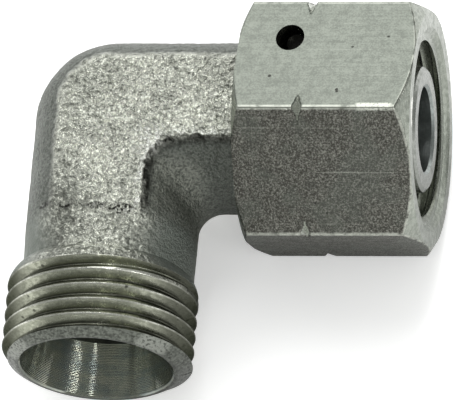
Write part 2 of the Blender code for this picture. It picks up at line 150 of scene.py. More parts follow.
class Graph:
    """Writes the nodes of one material or of the world."""

    def __init__(self, tree: bpy.types.NodeTree) -> None:
        """Start with an empty node tree."""
        self.tree = tree
        self.tree.nodes.clear()

    def node(
        self,
        kind: str,
        settings: dict[str, Any] | None = None,
        inputs: dict[str | int, Any] | None = None,
    ) -> bpy.types.Node:
        """Add any node.

        Args:
            kind: The node's type.
            settings: Properties of the node, set before its sockets.
            inputs: Values or links of its sockets, by name or by number.

        Returns:
            The new node.
        """
        made = self.tree.nodes.new(kind)
        for name, value in (settings or {}).items():
            setattr(made, name, value)
        for key, value in (inputs or {}).items():
            target = made.inputs[key]
            if isinstance(value, Signal):
                self.tree.links.new(value.socket, target)
            elif isinstance(value, bpy.types.NodeSocket):
                self.tree.links.new(value, target)
            else:
                target.default_value = value
        return made

    def math(self, operation: str, first: Any, second: Any = 0.0) -> Signal:
        """Add a Math node."""
        made = self.node("ShaderNodeMath", {"operation": operation}, {0: first, 1: second})
        return Signal(self, made.outputs[0])

    def place(self, matrix: Matrix) -> bpy.types.NodeSocket:
        """Give the surface's place in another frame.

        Args:
            matrix: The other frame's matrix in the piece's own coordinates.

        Returns:
            The vector socket of the place, in metres along that frame's axes.
        """
        local = self.node("ShaderNodeTexCoord").outputs["Object"]
        settings = {"vector_type": "TEXTURE"}
        inputs = {
            "Vector": local,
            "Location": matrix.translation,
            "Rotation": matrix.to_euler(),
        }
        return self.node("ShaderNodeMapping", settings, inputs).outputs["Vector"]

    def split(self, vector: bpy.types.NodeSocket) -> tuple[Signal, Signal, Signal]:
        """Take a vector apart into its three numbers."""
        made = self.node("ShaderNodeSeparateXYZ", None, {"Vector": vector})
        return tuple(Signal(self, output) for output in made.outputs)

    def stretch(self, vector: bpy.types.NodeSocket, scale: Sequence[float]) -> bpy.types.NodeSocket:
        """Multiply a vector by a scale along each axis."""
        inputs = {0: vector, 1: scale}
        return self.node("ShaderNodeVectorMath", {"operation": "MULTIPLY"}, inputs).outputs[0]

    def noise(self, vector: bpy.types.NodeSocket, grain: Grain) -> Signal:
        """Give fractal noise.

        Args:
            vector: The place at which it is taken.
            grain: Its settings.

        Returns:
            The noise, from 0 to 1.
        """
        inputs = {"Vector": vector, "Scale": 1.0 / grain.size}
        inputs |= {"Detail": grain.detail, "Roughness": grain.roughness}
        return Signal(self, self.node("ShaderNodeTexNoise", None, inputs).outputs["Fac"])

    def cells(self, vector: bpy.types.NodeSocket, size: float) -> Signal:
        """Give the distance to the nearest of a field of scattered points, in cells."""
        inputs = {"Vector": vector, "Scale": 1.0 / size}
        return Signal(self, self.node("ShaderNodeTexVoronoi", None, inputs).outputs["Distance"])

    def distance(self, vector: bpy.types.NodeSocket, point: Sequence[float]) -> Signal:
        """Give the distance to a point."""
        made = self.node("ShaderNodeVectorMath", {"operation": "DISTANCE"}, {0: vector, 1: point})
        return Signal(self, made.outputs[1])

    def blend(self, share: Signal, low: Any, high: Any) -> bpy.types.NodeSocket:
        """Mix two colours."""
        made = self.node("ShaderNodeMix", {"data_type": "RGBA"}, {0: share, 6: low, 7: high})
        return made.outputs[2]

    def bump(self, height: Signal, depth: float, below: Any = None) -> bpy.types.NodeSocket:
        """Turn a height into a normal.

        Args:
            height: The height, from 0 to 1.
            depth: The depth that 1 stands for, in metres.
            below: The normal of the coarser relief that this one lies on, if any.

        Returns:
            The socket of the normal.
        """
        inputs = {"Height": height, "Strength": 1.0, "Distance": depth}
        if below is not None:
            inputs["Normal"] = below
        return self.node("ShaderNodeBump", None, inputs).outputs["Normal"]


def shade(name: str, colour: Colour) -> tuple[bpy.types.Material, Graph]:
    """Start a material.

    Args:
        name: The material's name.
        colour: Its colour in solid view.

    Returns:
        The material and its empty graph.
    """
    material = bpy.data.materials.new(name)
    material.use_nodes = True
    material.diffuse_color = opaque(colour)
    return material, Graph(material.node_tree)


def finish_surface(graph: Graph, inputs: dict[str, Any]) -> None:
    """Close a material with one Principled shader."""
    shader = graph.node("ShaderNodeBsdfPrincipled", None, inputs)
    graph.node("ShaderNodeOutputMaterial", None, {"Surface": shader.outputs["BSDF"]})


def opaque(colour: Colour) -> tuple[float, float, float, float]:
    """Add full alpha to a colour."""
    return (*colour, 1.0)


def darkened(colour: Colour, share: float) -> Colour:
    """Return a share of a colour's brightness in the same hue."""
    return (colour[0] * share, colour[1] * share, colour[2] * share)


@dataclass(frozen=True)
class ForgedZinc:
    """Zinc plating over a shot-blasted forging: coarse on the lands, smoother on the walls.

    A span holds the two values between which a mask rises, or falls if the first is greater,
    and a band holds a rise and a fall. Those of the rim's painted glint and the crease's
    painted shadow are heights above the land's edge. Each scar is (x, y, reach), in
    millimetres in the elbow's frame.
    """

    pale: Colour = (0.86, 0.88, 0.78)
    dull: Colour = (0.19, 0.197, 0.172)
    # painted shade: the walls and the neck are coloured far darker than the lands
    wall: Colour = (0.20, 0.215, 0.19)
    neck: Colour = (0.21, 0.23, 0.205)
    # painted light: the pale sheen colour that the inner fillet is lightened towards
    fillet_sheen: Colour = (0.42, 0.43, 0.37)
    glint: Colour = (0.9, 0.91, 0.86)
    # dark colour of the scars' real marks, also painted as shadow in the crease under the land's
    # edge
    soot_and_shadow: Colour = (0.03, 0.03, 0.025)
    coarse_grain: Grain = Grain(0.5 * MM, 3.0, 0.62)
    fine_grain: Grain = Grain(0.24 * MM, 2.0, 0.7)
    patches: Grain = Grain(1.0 * MM, 3.0)
    clouds: Grain = Grain(4.5 * MM, 3.0)
    dimple_size: float = 0.5 * MM
    land_depth: float = 0.75 * MM
    land_start: float = 7.45 * MM
    land_edge: float = 7.95 * MM
    neck_start: Span = (-10.6 * MM, -12.6 * MM)
    neck_top: Span = (5.0 * MM, 8.2 * MM)
    tone_shares: Span = (0.5, 0.5)
    tone_limits: Span = (0.29, 0.61)
    patch_limits: Span = (0.38, 0.6)
    patch_share: Span = (0.4, 1.0)
    cloud_share: float = 0.3
    leg_shade: Span = (-7.0 * MM, -12.0 * MM)
    corner_shade: Span = (0.5 * MM, -3.0 * MM)
    shade_share: float = 0.06
    sand_limits: Span = (0.34, 0.66)
    sand_share: float = 0.5
    fillet_along: Band = ((4.5 * MM, 6.0 * MM), (10.5 * MM, 8.0 * MM))
    fillet_down: Band = ((-5.0 * MM, -7.0 * MM), (-12.5 * MM, -10.0 * MM))
    fillet_share: Span = (0.1, 0.55)
    inner_side: Span = (1.5 * MM, 3.0 * MM)
    rim_band: Band = ((-0.04 * MM, 0.02 * MM), (0.14 * MM, 0.06 * MM))
    rim_share: float = 0.8
    inner_corner: Span = (4.9 * MM, -4.6 * MM)
    corner_reach: Span = (2.2 * MM, 0.9 * MM)
    corner_grain: Span = (0.5, 0.42)
    corner_share: float = 0.9
    crease_shadow_band: Band = ((-0.9 * MM, -0.3 * MM), (0.01 * MM, -0.06 * MM))
    crease_shadow_share: Span = (0.15, 0.9)
    scars: tuple[Triple, ...] = (
        (2.7, -11.6, 1.6),
        (0.4, -11.3, 1.1),
        (-4.6, -10.9, 0.9),
        (-2.6, -11.3, 0.7),
    )
    scar_squash: float = 2.6
    scar_core: float = 0.7
    scar_grain: Span = (0.47, 0.54)
    glint_grain: Span = (0.44, 0.38)
    glint_share: float = 0.6
    lump_shares: Triple = (0.5, 0.25, 0.35)
    wall_lumps: float = 0.2
    metallic: float = 0.85
    wall_roughness: float = 0.4
    land_gloss: float = 0.2
    dull_roughness: float = 0.14

    def material(self, place: Matrix) -> bpy.types.Material:
        """Build the material.

        Args:
            place: The elbow's frame, with the lands square to its Z axis.

        Returns:
            The material.
        """
        material, graph = shade("forged_zinc_skin", self.pale)
        spot = graph.place(place)
        along, down_leg, height = graph.split(spot)
        height = abs(height)
        neck = down_leg.ramp(*self.neck_start)
        flat = height.ramp(self.land_start, self.land_edge) * (1 - neck)
        land = flat + height.ramp(*self.neck_top) * neck
        coarse = graph.noise(spot, self.coarse_grain)
        fine = graph.noise(spot, self.fine_grain)
        cloudy = (graph.noise(spot, self.clouds) - 0.5) * self.cloud_share
        patchy = graph.noise(spot, self.patches).ramp(*self.patch_limits)
        low = (down_leg.ramp(*self.leg_shade) + along.ramp(*self.corner_shade)) * self.shade_share
        tone = coarse * self.tone_shares[0] + fine * self.tone_shares[1]
        tone = (tone + cloudy - low).ramp(*self.tone_limits)
        rough_skin = graph.blend(tone, opaque(self.dull), opaque(self.pale))
        # painted light: the inner fillet is lightened towards a pale sheen, following the sand
        # grain
        fillet = along.band(*self.fillet_along) * down_leg.band(*self.fillet_down)
        shown = graph.blend(land, self.smooth_skin(graph, fine, neck, fillet), rough_skin)
        inner = graph.math("MINIMUM", along, down_leg * -1).ramp(*self.inner_side)
        level = height - self.land_edge
        rim = level.band(*self.rim_band) * inner * patchy * (1 - neck)
        away = graph.distance(graph.stretch(spot, (1.0, 1.0, 0.0)), (*self.inner_corner, 0.0))
        corner = away.ramp(*self.corner_reach) * flat * coarse.ramp(*self.corner_grain)
        rim = graph.math("MAXIMUM", rim * self.rim_share, corner * self.corner_share)
        shown = graph.blend(rim, shown, opaque(self.glint))
        # painted shadow: the crease under the land's edge is darkened, more on the inner side; the
        # scars below are real dark marks
        crease = level.band(*self.crease_shadow_band) * inner.spread(*self.crease_shadow_share)
        marks = crease * patchy.spread(*self.patch_share) * (1 - neck)
        squashed = graph.stretch(spot, (1.0, self.scar_squash, 0.0))
        for x, y, reach in self.scars:
            away = graph.distance(squashed, (x * MM, self.scar_squash * y * MM, 0.0))
            near = away.ramp(reach * MM, self.scar_core * reach * MM)
            marks = graph.math("MAXIMUM", marks, near * fine.ramp(*self.scar_grain))
            sparkle = near * coarse.ramp(*self.glint_grain) * self.glint_share
            shown = graph.blend(sparkle, shown, opaque(self.glint))
        shown = graph.blend(marks, shown, opaque(self.soot_and_shadow))
        dimples = graph.cells(spot, self.dimple_size)
        shares = self.lump_shares
        lumps = (coarse * shares[0] + fine * shares[1] + dimples * shares[2]) * land
        lumps = lumps + fine * self.wall_lumps * (1 - land)
        rough = self.wall_roughness - land * self.land_gloss + (1 - tone) * self.dull_roughness
        inputs = {"Base Color": shown, "Metallic": self.metallic, "Roughness": rough}
        inputs["Normal"] = graph.bump(lumps, self.land_depth)
        finish_surface(graph, inputs)
        return material

    def smooth_skin(
        self,
        graph: Graph,
        fine: Signal,
        neck: Signal,
        fillet: Signal,
    ) -> bpy.types.NodeSocket:
        """Colour the walls and the neck, painted darker than the lands as shade.

        Args:
            graph: The material's graph.
            fine: The fine grain.
            neck: The share of the neck's own colour.
            fillet: Where the inner fillet lies, which is painted lighter as a sheen of light.

        Returns:
            The socket of the colour.
        """
        sand = fine.ramp(*self.sand_limits)
        skin = graph.blend(sand, opaque(darkened(self.wall, self.sand_share)), opaque(self.wall))
        skin = graph.blend(neck, skin, opaque(self.neck))
        return graph.blend(fillet * sand.spread(*self.fillet_share), skin, opaque(self.fillet_sheen))


@dataclass(frozen=True)
class TurnedZinc:
    """Zinc plating over a cut surface, with the tool's fine lines round its axis.

    Outside a bright radius the colour is painted bright, as on the crests of a thread: partly
    wear, partly a painted highlight. Beyond a start on either side of the axis it is painted
    deeper in tone as shade. Each bright spot, partly wear and partly a painted highlight, is
    (x, y, z, reach), in millimetres in the finish's frame.
    """

    name: str
    pale: Colour
    dull: Colour
    bright: Colour = (0.80, 0.80, 0.74)
    edge_tint: Colour = (1.0, 1.0, 1.0)
    deep_share: float = 0.15
    specks: Grain = Grain(0.5 * MM, 4.0, 0.65)
    tone_shares: Span = (0.7, 0.3)
    tone_limits: Span = (0.36, 0.62)
    bright_radius: float = 1.0
    bright_blur: float = 0.08 * MM
    bright_share: Span = (0.4, 1.0)
    side_start: float = 1.0
    side_blur: float = 3.5 * MM
    side_share: Span = (0.6, 1.1)
    side_cover: float = 0.8
    wear_and_highlight_spots: tuple[tuple[float, float, float, float], ...] = ()
    wear_and_highlight_core: float = 0.6
    wear_and_highlight_grain: Span = (0.36, 0.5)
    root_radius: float = 0.0
    root_depth: float = 0.45 * MM
    root_share: float = 0.8
    nick_spacing: float = 1.6 * MM
    nick_reach: Span = (0.14, 0.07)
    nick_share: float = 0.0
    line_pitch: float = 0.12 * MM
    line_depth: float = 0.012 * MM
    line_length: float = 0.12
    line_share: float = 0.8
    roughness: float = 0.24
    dull_roughness: float = 0.12
    metallic: float = 1.0

    def material(self, place: Matrix) -> bpy.types.Material:
        """Build the material.

        Args:
            place: The frame whose X axis the lines run round.

        Returns:
            The material.
        """
        material, graph = shade(self.name, self.pale)
        spot = graph.place(place)
        _, across, above = graph.split(spot)
        radius = (across * across + above * above) ** 0.5
        long_grain = graph.stretch(spot, (1.0, self.line_length, self.line_length))
        lines = graph.noise(long_grain, Grain(self.line_pitch))
        specks = graph.noise(spot, self.specks)
        tone = specks * self.tone_shares[0] + lines * self.tone_shares[1]
        tone = tone.ramp(*self.tone_limits)
        # painted highlight, partly wear: outside the bright radius, as on a thread's crests, the
        # colour is lightened
        wear_and_highlight = radius.ramp(self.bright_radius, self.bright_radius + self.bright_blur)
        wear_and_highlight = wear_and_highlight * tone.spread(*self.bright_share)
        deep = opaque(darkened(self.dull, self.deep_share))
        # painted shade: the colour darkens towards either side of the axis
        side_shade = abs(across).ramp(self.side_start, self.side_start + self.side_blur)
        shown = graph.blend(tone, opaque(self.dull), opaque(self.pale))
        shown = graph.blend(side_shade * specks.spread(*self.side_share), shown, deep)
        shown = graph.blend(wear_and_highlight * (1 - side_shade * self.side_cover), shown, opaque(self.bright))
        # painted highlights, partly wear: bright spots at listed places
        for x, y, z, reach in self.wear_and_highlight_spots:
            away = graph.distance(spot, (x * MM, y * MM, z * MM))
            near = away.ramp(reach * MM, self.wear_and_highlight_core * reach * MM)
            shown = graph.blend(near * specks.ramp(*self.wear_and_highlight_grain), shown, opaque(self.bright))
        # painted shade: the bottoms of a thread's grooves are darkened; the nicks are real dark
        # marks
        root_shade = radius.ramp(self.root_radius + self.root_depth, self.root_radius)
        nicks = graph.cells(spot, self.nick_spacing).ramp(*self.nick_reach) * self.nick_share
        shown = graph.blend(graph.math("MAXIMUM", root_shade * self.root_share, nicks), shown, deep)
        height = lines * self.line_share + specks * (1 - self.line_share)
        rough = self.roughness + (1 - tone) * self.dull_roughness
        inputs = {"Base Color": shown, "Metallic": self.metallic, "Roughness": rough}
        inputs["Specular Tint"] = opaque(self.edge_tint)
        inputs["Normal"] = graph.bump(height, self.line_depth)
        finish_surface(graph, inputs)
        return material


CUT_THREAD = TurnedZinc(
    "cut_thread_zinc",
    (0.47, 0.485, 0.39),
    (0.30, 0.31, 0.245),
    bright=(0.95, 0.95, 0.88),
    edge_tint=(0.35, 0.36, 0.35),
    bright_radius=8.84 * MM,
    side_start=4.5 * MM,
    root_radius=8.04 * MM,
    root_depth=0.16 * MM,
    nick_share=0.8,
)
FACED_END = TurnedZinc(
    "faced_zinc",
    (0.14, 0.15, 0.13),
    (0.05, 0.053, 0.046),
    bright=(0.22, 0.23, 0.205),
    specks=Grain(0.3 * MM, 4.0, 0.65),
    wear_and_highlight_spots=((24.0, -6.9, 4.0, 2.4), (24.0, 6.3, 5.0, 2.2)),
    nick_spacing=1.1 * MM,
    nick_share=0.55,
    line_depth=0.05 * MM,
    line_share=0.3,
)
BORED_SOCKET = TurnedZinc(
    "bored_zinc",
    (0.42, 0.43, 0.36),
    (0.25, 0.285, 0.275),
    specks=Grain(2.4 * MM, 4.0, 0.65),
    line_pitch=0.35 * MM,
    line_depth=0.0005 * MM,
    line_length=0.02,
    line_share=1.0,
    roughness=0.07,
    metallic=0.85,
)
DRILLED_BORE = TurnedZinc("drilled_zinc", (0.33, 0.36, 0.35), (0.22, 0.24, 0.23), roughness=0.28)
TURNED_NOSE = TurnedZinc("turned_nose_zinc", (0.31, 0.32, 0.30), (0.23, 0.24, 0.22))
NUT_THREAD = TurnedZinc("nut_thread_zinc", (0.29, 0.31, 0.26), (0.18, 0.19, 0.16))
TURNED_CHAMFER = TurnedZinc(
    "turned_chamfer_zinc",
    (0.34, 0.362, 0.318),
    (0.24, 0.257, 0.224),
    # painted highlight: bright spots on the nut's end face where light glints
    wear_and_highlight_spots=((29.7, -4.4, 8.5, 1.2), (29.7, -5.2, 8.0, 1.0)),
)
NOTCHED_CORNER = TurnedZinc(
    "notched_corner_zinc",
    (0.6, 0.62, 0.57),
    (0.45, 0.47, 0.42),
    metallic=0.75,
)
# painted shade: the wire is coloured near black for the shade in the wire hole where it shows
WIRE_IN_SHADE = TurnedZinc("wire_in_painted_shade", (0.03, 0.029, 0.027), (0.015, 0.0145, 0.0135))


@dataclass(frozen=True)
class DrawnZinc:
    """Zinc plating over drawn hexagon bar: faint lines along it, mottling and tiny pits.

    Each pit is (along, aside, size), in millimetres on the upper smooth flat. The hexagon's
    edges and the front chamfer's edge are painted bright, partly wear and partly highlights,
    and the bruised corner glint is a scuffed stretch of one corner, painted bright partly as a
    highlight.
    """

    pale: Colour = (0.25, 0.27, 0.235)
    dull: Colour = (0.18, 0.194, 0.17)
    rough_pale: Colour = (0.37, 0.37, 0.33)
    rough_dull: Colour = (0.08, 0.079, 0.068)
    green_cast: Colour = (0.17, 0.19, 0.165)
    bright: Colour = (0.62, 0.64, 0.57)
    pit: Colour = (0.05, 0.05, 0.045)
    mottling: Grain = Grain(0.9 * MM, 5.0, 0.6)
    fine_grain: Grain = Grain(0.17 * MM, 2.0, 0.7)
    drawn_lines: Grain = Grain(0.17 * MM, 1.0)
    scratch_grain: Grain = Grain(0.374 * MM, 3.0)
    cast_grain: Grain = Grain(4.05 * MM, 2.0)
    line_stretch: float = 0.02
    smooth_depth: float = 0.03 * MM
    rough_depth: float = 0.10 * MM
    smooth_flat: Span = (10.9 * MM, 10.8 * MM)
    flat_height: float = 11.0 * MM
    tone_shares: Triple = (0.35, 0.5, 0.15)
    tone_limits: Span = (0.38, 0.62)
    speckle_shares: Span = (0.2, 0.8)
    speckle_limits: Span = (0.40, 0.74)
    cast_limits: Span = (0.46, 0.62)
    cast_share: float = 0.3
    scratch_limits: Span = (0.66, 0.72)
    scratch_share: Span = (0.1, 0.3)
    edge_radius: Span = (12.52 * MM, 12.62 * MM)
    edge_mottle: Span = (0.25, 0.55)
    edge_share: float = 0.65
    chamfer_start: float = 37.445 * MM
    chamfer_slope: float = 1.428
    chamfer_edge: Span = (-0.24 * MM, -0.06 * MM)
    chamfer_mottle: Span = (0.35, 0.55)
    chamfer_share: float = 0.7
    bruise_glint_run: Band = ((24.8 * MM, 25.2 * MM), (28.6 * MM, 28.0 * MM))
    bruise_glint_across: Span = (-5.75 * MM, -5.95 * MM)
    bruise_glint_above: Span = (10.6 * MM, 10.8 * MM)
    bruise_glint_grain: Span = (0.3, 0.5)
    pit_spacing: float = 2.6 * MM
    pit_reach: Span = (0.055, 0.035)
    pit_share: float = 0.8
    pit_core: float = 0.5
    pits: tuple[Triple, ...] = (
        (16.42, -2.60, 0.20),
        (22.94, -4.22, 0.19),
        (22.99, -4.45, 0.17),
        (27.08, 2.11, 0.15),
    )
    large_pit_share: float = 0.95
    relief_shares: Triple = (0.4, 0.4, 0.2)
    relief_pits: float = 0.8
    roughness: float = 0.30
    dull_roughness: float = 0.12

    def material(self, place: Matrix) -> bpy.types.Material:
        """Build the material.

        Args:
            place: The nut's frame, with the bar along its X axis. The two flats square to its
                Z axis are smooth, and the others are coarser.

        Returns:
            The material.
        """
        material, graph = shade("drawn_zinc_skin", self.pale)
        spot = graph.place(place)
        run, across, above = graph.split(spot)
        coarse = abs(above).ramp(*self.smooth_flat)
        drawn = graph.stretch(spot, (self.line_stretch, 1.0, 1.0))
        mottle = graph.noise(spot, self.mottling)
        grain = graph.noise(spot, self.fine_grain)
        lines = graph.noise(drawn, self.drawn_lines)
        scratches = graph.noise(drawn, self.scratch_grain).ramp(*self.scratch_limits)
        shares = self.tone_shares
        tone = mottle * shares[0] + grain * shares[1] + lines * shares[2]
        tone = tone.ramp(*self.tone_limits)
        speckle = mottle * self.speckle_shares[0] + grain * self.speckle_shares[1]
        speckle = speckle.ramp(*self.speckle_limits)
        cast = graph.noise(spot, self.cast_grain).ramp(*self.cast_limits)
        smooth_skin = graph.blend(tone, opaque(self.dull), opaque(self.pale))
        rough_skin = graph.blend(speckle, opaque(self.rough_dull), opaque(self.rough_pale))
        rough_skin = graph.blend(cast * self.cast_share, rough_skin, opaque(self.green_cast))
        shown = graph.blend(coarse, smooth_skin, rough_skin)
        radius = (across * across + above * above) ** 0.5
        # painted highlights, partly wear: the hexagon's edges, the front chamfer's edge and one
        # corner stretch are lightened; the scratches are real
        edge = radius.ramp(*self.edge_radius) * mottle.ramp(*self.edge_mottle)
        beyond = (run - self.chamfer_start) * self.chamfer_slope + radius
        front = beyond.ramp(*self.chamfer_edge) * mottle.ramp(*self.chamfer_mottle)
        bruise_glint = run.band(*self.bruise_glint_run) * across.ramp(*self.bruise_glint_across)
        bruise_glint = bruise_glint * above.ramp(*self.bruise_glint_above) * grain.ramp(*self.bruise_glint_grain)
        wear_and_highlight = graph.math("MAXIMUM", edge * self.edge_share, front * self.chamfer_share)
        wear_and_highlight = graph.math("MAXIMUM", wear_and_highlight, bruise_glint) + scratches * coarse.spread(*self.scratch_share)
        shown = graph.blend(wear_and_highlight, shown, opaque(self.bright))
        marks = graph.cells(spot, self.pit_spacing).ramp(*self.pit_reach) * self.pit_share
        for along, aside, size in self.pits:
            away = graph.distance(spot, (along * MM, aside * MM, self.flat_height))
            pit = away.ramp(size * MM, self.pit_core * size * MM) * self.large_pit_share
            marks = graph.math("MAXIMUM", marks, pit)
        shown = graph.blend(marks, shown, opaque(self.pit))
        shares = self.relief_shares
        relief = mottle * shares[0] + grain * shares[1] + lines * shares[2]
        normal = graph.bump(relief - marks * self.relief_pits, self.smooth_depth)
        normal = graph.bump(grain * coarse, self.rough_depth, normal)
        rough = self.roughness + (1 - tone) * self.dull_roughness
        inputs = {"Base Color": shown, "Metallic": 1.0, "Roughness": rough, "Normal": normal}
        finish_surface(graph, inputs)
        return material


@dataclass(frozen=True)
class SealRubber:
    """Black nitrile with a faint bloom."""

    deep: Colour = (0.012, 0.012, 0.012)
    bloom: Colour = (0.035, 0.035, 0.034)
    haze: Grain = Grain(0.3 * MM, 3.0)
    haze_limits: Span = (0.35, 0.7)
    haze_depth: float = 0.01 * MM
    roughness: Span = (0.42, 0.57)

    def material(self, place: Matrix) -> bpy.types.Material:
        """Build the material.

        Args:
            place: The frame that the bloom lies in.

        Returns:
            The material.
        """
        material, graph = shade("nitrile_rubber", self.deep)
        haze = graph.noise(graph.place(place), self.haze).ramp(*self.haze_limits)
        shown = graph.blend(haze, opaque(self.deep), opaque(self.bloom))
        inputs = {"Base Color": shown, "Roughness": haze.spread(*self.roughness)}
        inputs["Normal"] = graph.bump(haze, self.haze_depth)
        finish_surface(graph, inputs)
        return material


@dataclass(frozen=True)
class Placement:
    """Where the fitting lies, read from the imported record."""

    elbow: Matrix
    nut: Matrix
    leg: Matrix

    @classmethod
    def read(cls, record: dict[str, Any], axis_offset: float) -> "Placement":
        """Work out the frames of the elbow, the nut and the leg.

        Args:
            record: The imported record.
            axis_offset: The distance from the elbow's corner to the joint's stated point.

        Returns:
            The placement, each matrix taking that frame's coordinates to the row frame. The
            leg's frame has its X axis along the leg, towards the male end.
        """
        joint = record["behaviour"]["joints"][0]
        mounts = {mount["name"]: mount for mount in record["mounts"]}
        leg_axis = Vector(mounts["male_end_face"]["axis"])
        flat_axis = Vector(mounts["spanner_flat_upper"]["axis"])
        corner = Vector(joint["pos_m"]) - WORLD_X * axis_offset
        elbow = frame_matrix(corner, WORLD_X, WORLD_X.cross(-leg_axis))
        nut = frame_matrix(corner, WORLD_X, flat_axis)
        leg = frame_matrix(corner, leg_axis, WORLD_X.cross(-leg_axis))
        return cls(elbow, nut, leg)


def frame_matrix(origin: Vector, x_axis: Vector, z_axis: Vector) -> Matrix:
    """Return the matrix of a frame.

    Args:
        origin: The frame's origin.
        x_axis: Its X axis.
        z_axis: Its Z axis.

    Returns:
        The matrix that takes the frame's coordinates to those the axes are given in.
    """
    y_axis = z_axis.cross(x_axis)
    turn = Matrix((x_axis, y_axis, z_axis)).transposed().to_4x4()
    return Matrix.Translation(origin) @ turn


def solid(
    name: str,
    shape: bmesh.types.BMesh,
    place: Matrix,
    finish: bpy.types.Material,
) -> bpy.types.Object:
    """Make an object whose mesh lies in the row frame.

    Args:
        name: The piece's name.
        shape: The mesh, in the piece's own frame. It is freed.
        place: The matrix from that frame to the row frame.
        finish: The material of all its faces.

    Returns:
        The new object, at the origin.
    """
    bmesh.ops.recalc_face_normals(shape, faces=shape.faces)
    bmesh.ops.transform(shape, matrix=place, verts=shape.verts)
    mesh = bpy.data.meshes.new(name)
    shape.to_mesh(mesh)
    shape.free()
    mesh.materials.append(finish)
    piece = bpy.data.objects.new(name, mesh)
    bpy.context.scene.collection.objects.link(piece)
    return piece


def revolve(profile: Profile, steps: int, closed: bool = False) -> bmesh.types.BMesh:
    """Turn a profile about the X axis.

    Args:
        profile: Points as (distance along X, radius). An open profile is closed by its own
            end points on the axis.
        steps: Facets round a full turn.
        closed: Whether the profile is a loop clear of the axis.

    Returns:
        The closed solid.
    """
    points = list(profile)
    if not closed:
        points = [(points[0][0], 0.0)] + points + [(points[-1][0], 0.0)]
    shape = bmesh.new()
    row = [shape.verts.new((along, 0.0, radius)) for along, radius in points]
    edges = [shape.edges.new(pair) for pair in zip(row, row[1:])]
    if closed:
        edges.append(shape.edges.new((row[-1], row[0])))
    bmesh.ops.spin(
        shape,
        geom=row + edges,
        cent=(0.0, 0.0, 0.0),
        axis=(1.0, 0.0, 0.0),
        angle=2 * math.pi,
        steps=steps,
        use_merge=True,
    )
    bmesh.ops.remove_doubles(shape, verts=shape.verts, dist=WELD_DISTANCE)
    return shape


def skin_rows(rows: Sequence[Sequence[Vector]]) -> bmesh.types.BMesh:
    """Join rows of points into one solid with flat ends.

    Args:
        rows: The rows, each a closed ring with as many points as the others.

    Returns:
        The closed solid.
    """
    shape = bmesh.new()
    rings = [[shape.verts.new(point) for point in row] for row in rows]
    for low, high in zip(rings, rings[1:]):
        for index in range(len(low)):
            following = (index + 1) % len(low)
            shape.faces.new((low[index], low[following], high[following], high[index]))
    shape.faces.new(reversed(rings[0]))
    shape.faces.new(rings[-1])
    return shape


def apply_cut(target: bpy.types.Object, tool: bpy.types.Object, cut: Cut) -> None:
    """Join or remove a tool solid for good.

    Args:
        target: The object that changes.
        tool: The tool solid, which is deleted.
        cut: Whether it is joined or removed.
    """
    step = target.modifiers.new("cut", "BOOLEAN")
    step.operation = cut.value
    step.object = tool
    step.solver = "MANIFOLD"
    step.material_mode = "TRANSFER"
    bake_modifiers(target)
    bpy.data.objects.remove(tool, do_unlink=True)


def bake_modifiers(target: bpy.types.Object) -> None:
    """Replace an object's mesh by what its modifiers make of it.

    Args:
        target: The object, which has no modifiers afterwards.
    """
    graph = bpy.context.evaluated_depsgraph_get()
    baked = bpy.data.meshes.new_from_object(target.evaluated_get(graph), depsgraph=graph)
    target.modifiers.clear()
    target.data = baked


def claim(
    mesh: bpy.types.Mesh,
    place: Matrix,
    stretch: Span,
    old: bpy.types.Material,
    new: bpy.types.Material,
) -> None:
    """Give the faces on a stretch of an axis another finish.

    Args:
        mesh: The mesh, in the row frame.
        place: The frame whose X axis is meant.
        stretch: Where the stretch starts and ends along that axis.
        old: The finish that those faces have.
        new: The finish that they get.
    """
    if new not in list(mesh.materials):
        mesh.materials.append(new)
    slots = list(mesh.materials)
    old_slot, new_slot = slots.index(old), slots.index(new)
    inward = place.inverted()
    for face in mesh.polygons:
        inside = stretch[0] < (inward @ face.center).x < stretch[1]
        if face.material_index == old_slot and inside:
            face.material_index = new_slot


def shade_smooth(piece: bpy.types.Object, angle: float) -> None:
    """Shade smooth, with edges sharper than an angle in degrees kept crisp."""
    piece.data.shade_smooth()
    piece.data.set_sharp_from_angle(angle=math.radians(angle))


def read_rows(items: Sequence[Any], name: str) -> np.ndarray:
    """Read a vector of each item of a mesh.

    Args:
        items: The mesh's points or normals.
        name: The name of the vector that is read.

    Returns:
        The vectors, one row each.
    """
    values = np.empty(len(items) * 3)
    items.foreach_get(name, values)
    return values.reshape(-1, 3)


def smooth_min(first: np.ndarray, second: np.ndarray, radius: float) -> np.ndarray:
    """Return the lesser of two values, rounded where they meet."""
    near = np.clip(radius - np.abs(first - second), 0.0, None) / radius
    return np.minimum(first, second) - near * near * radius / 4


def arc(centre: Span, radius: float, first: float, last: float, steps: int) -> Profile:
    """Return points on an arc.

    Args:
        centre: The arc's centre.
        radius: Its radius.
        first: The angle of its first point, in degrees.
        last: The angle of its last point, in degrees.
        steps: The number of stretches between its points.

    Returns:
        The points in order.
    """
    angles = [math.radians(first + (last - first) * step / steps) for step in range(steps + 1)]
    return [
        (centre[0] + radius * math.cos(angle), centre[1] + radius * math.sin(angle))
        for angle in angles
    ]


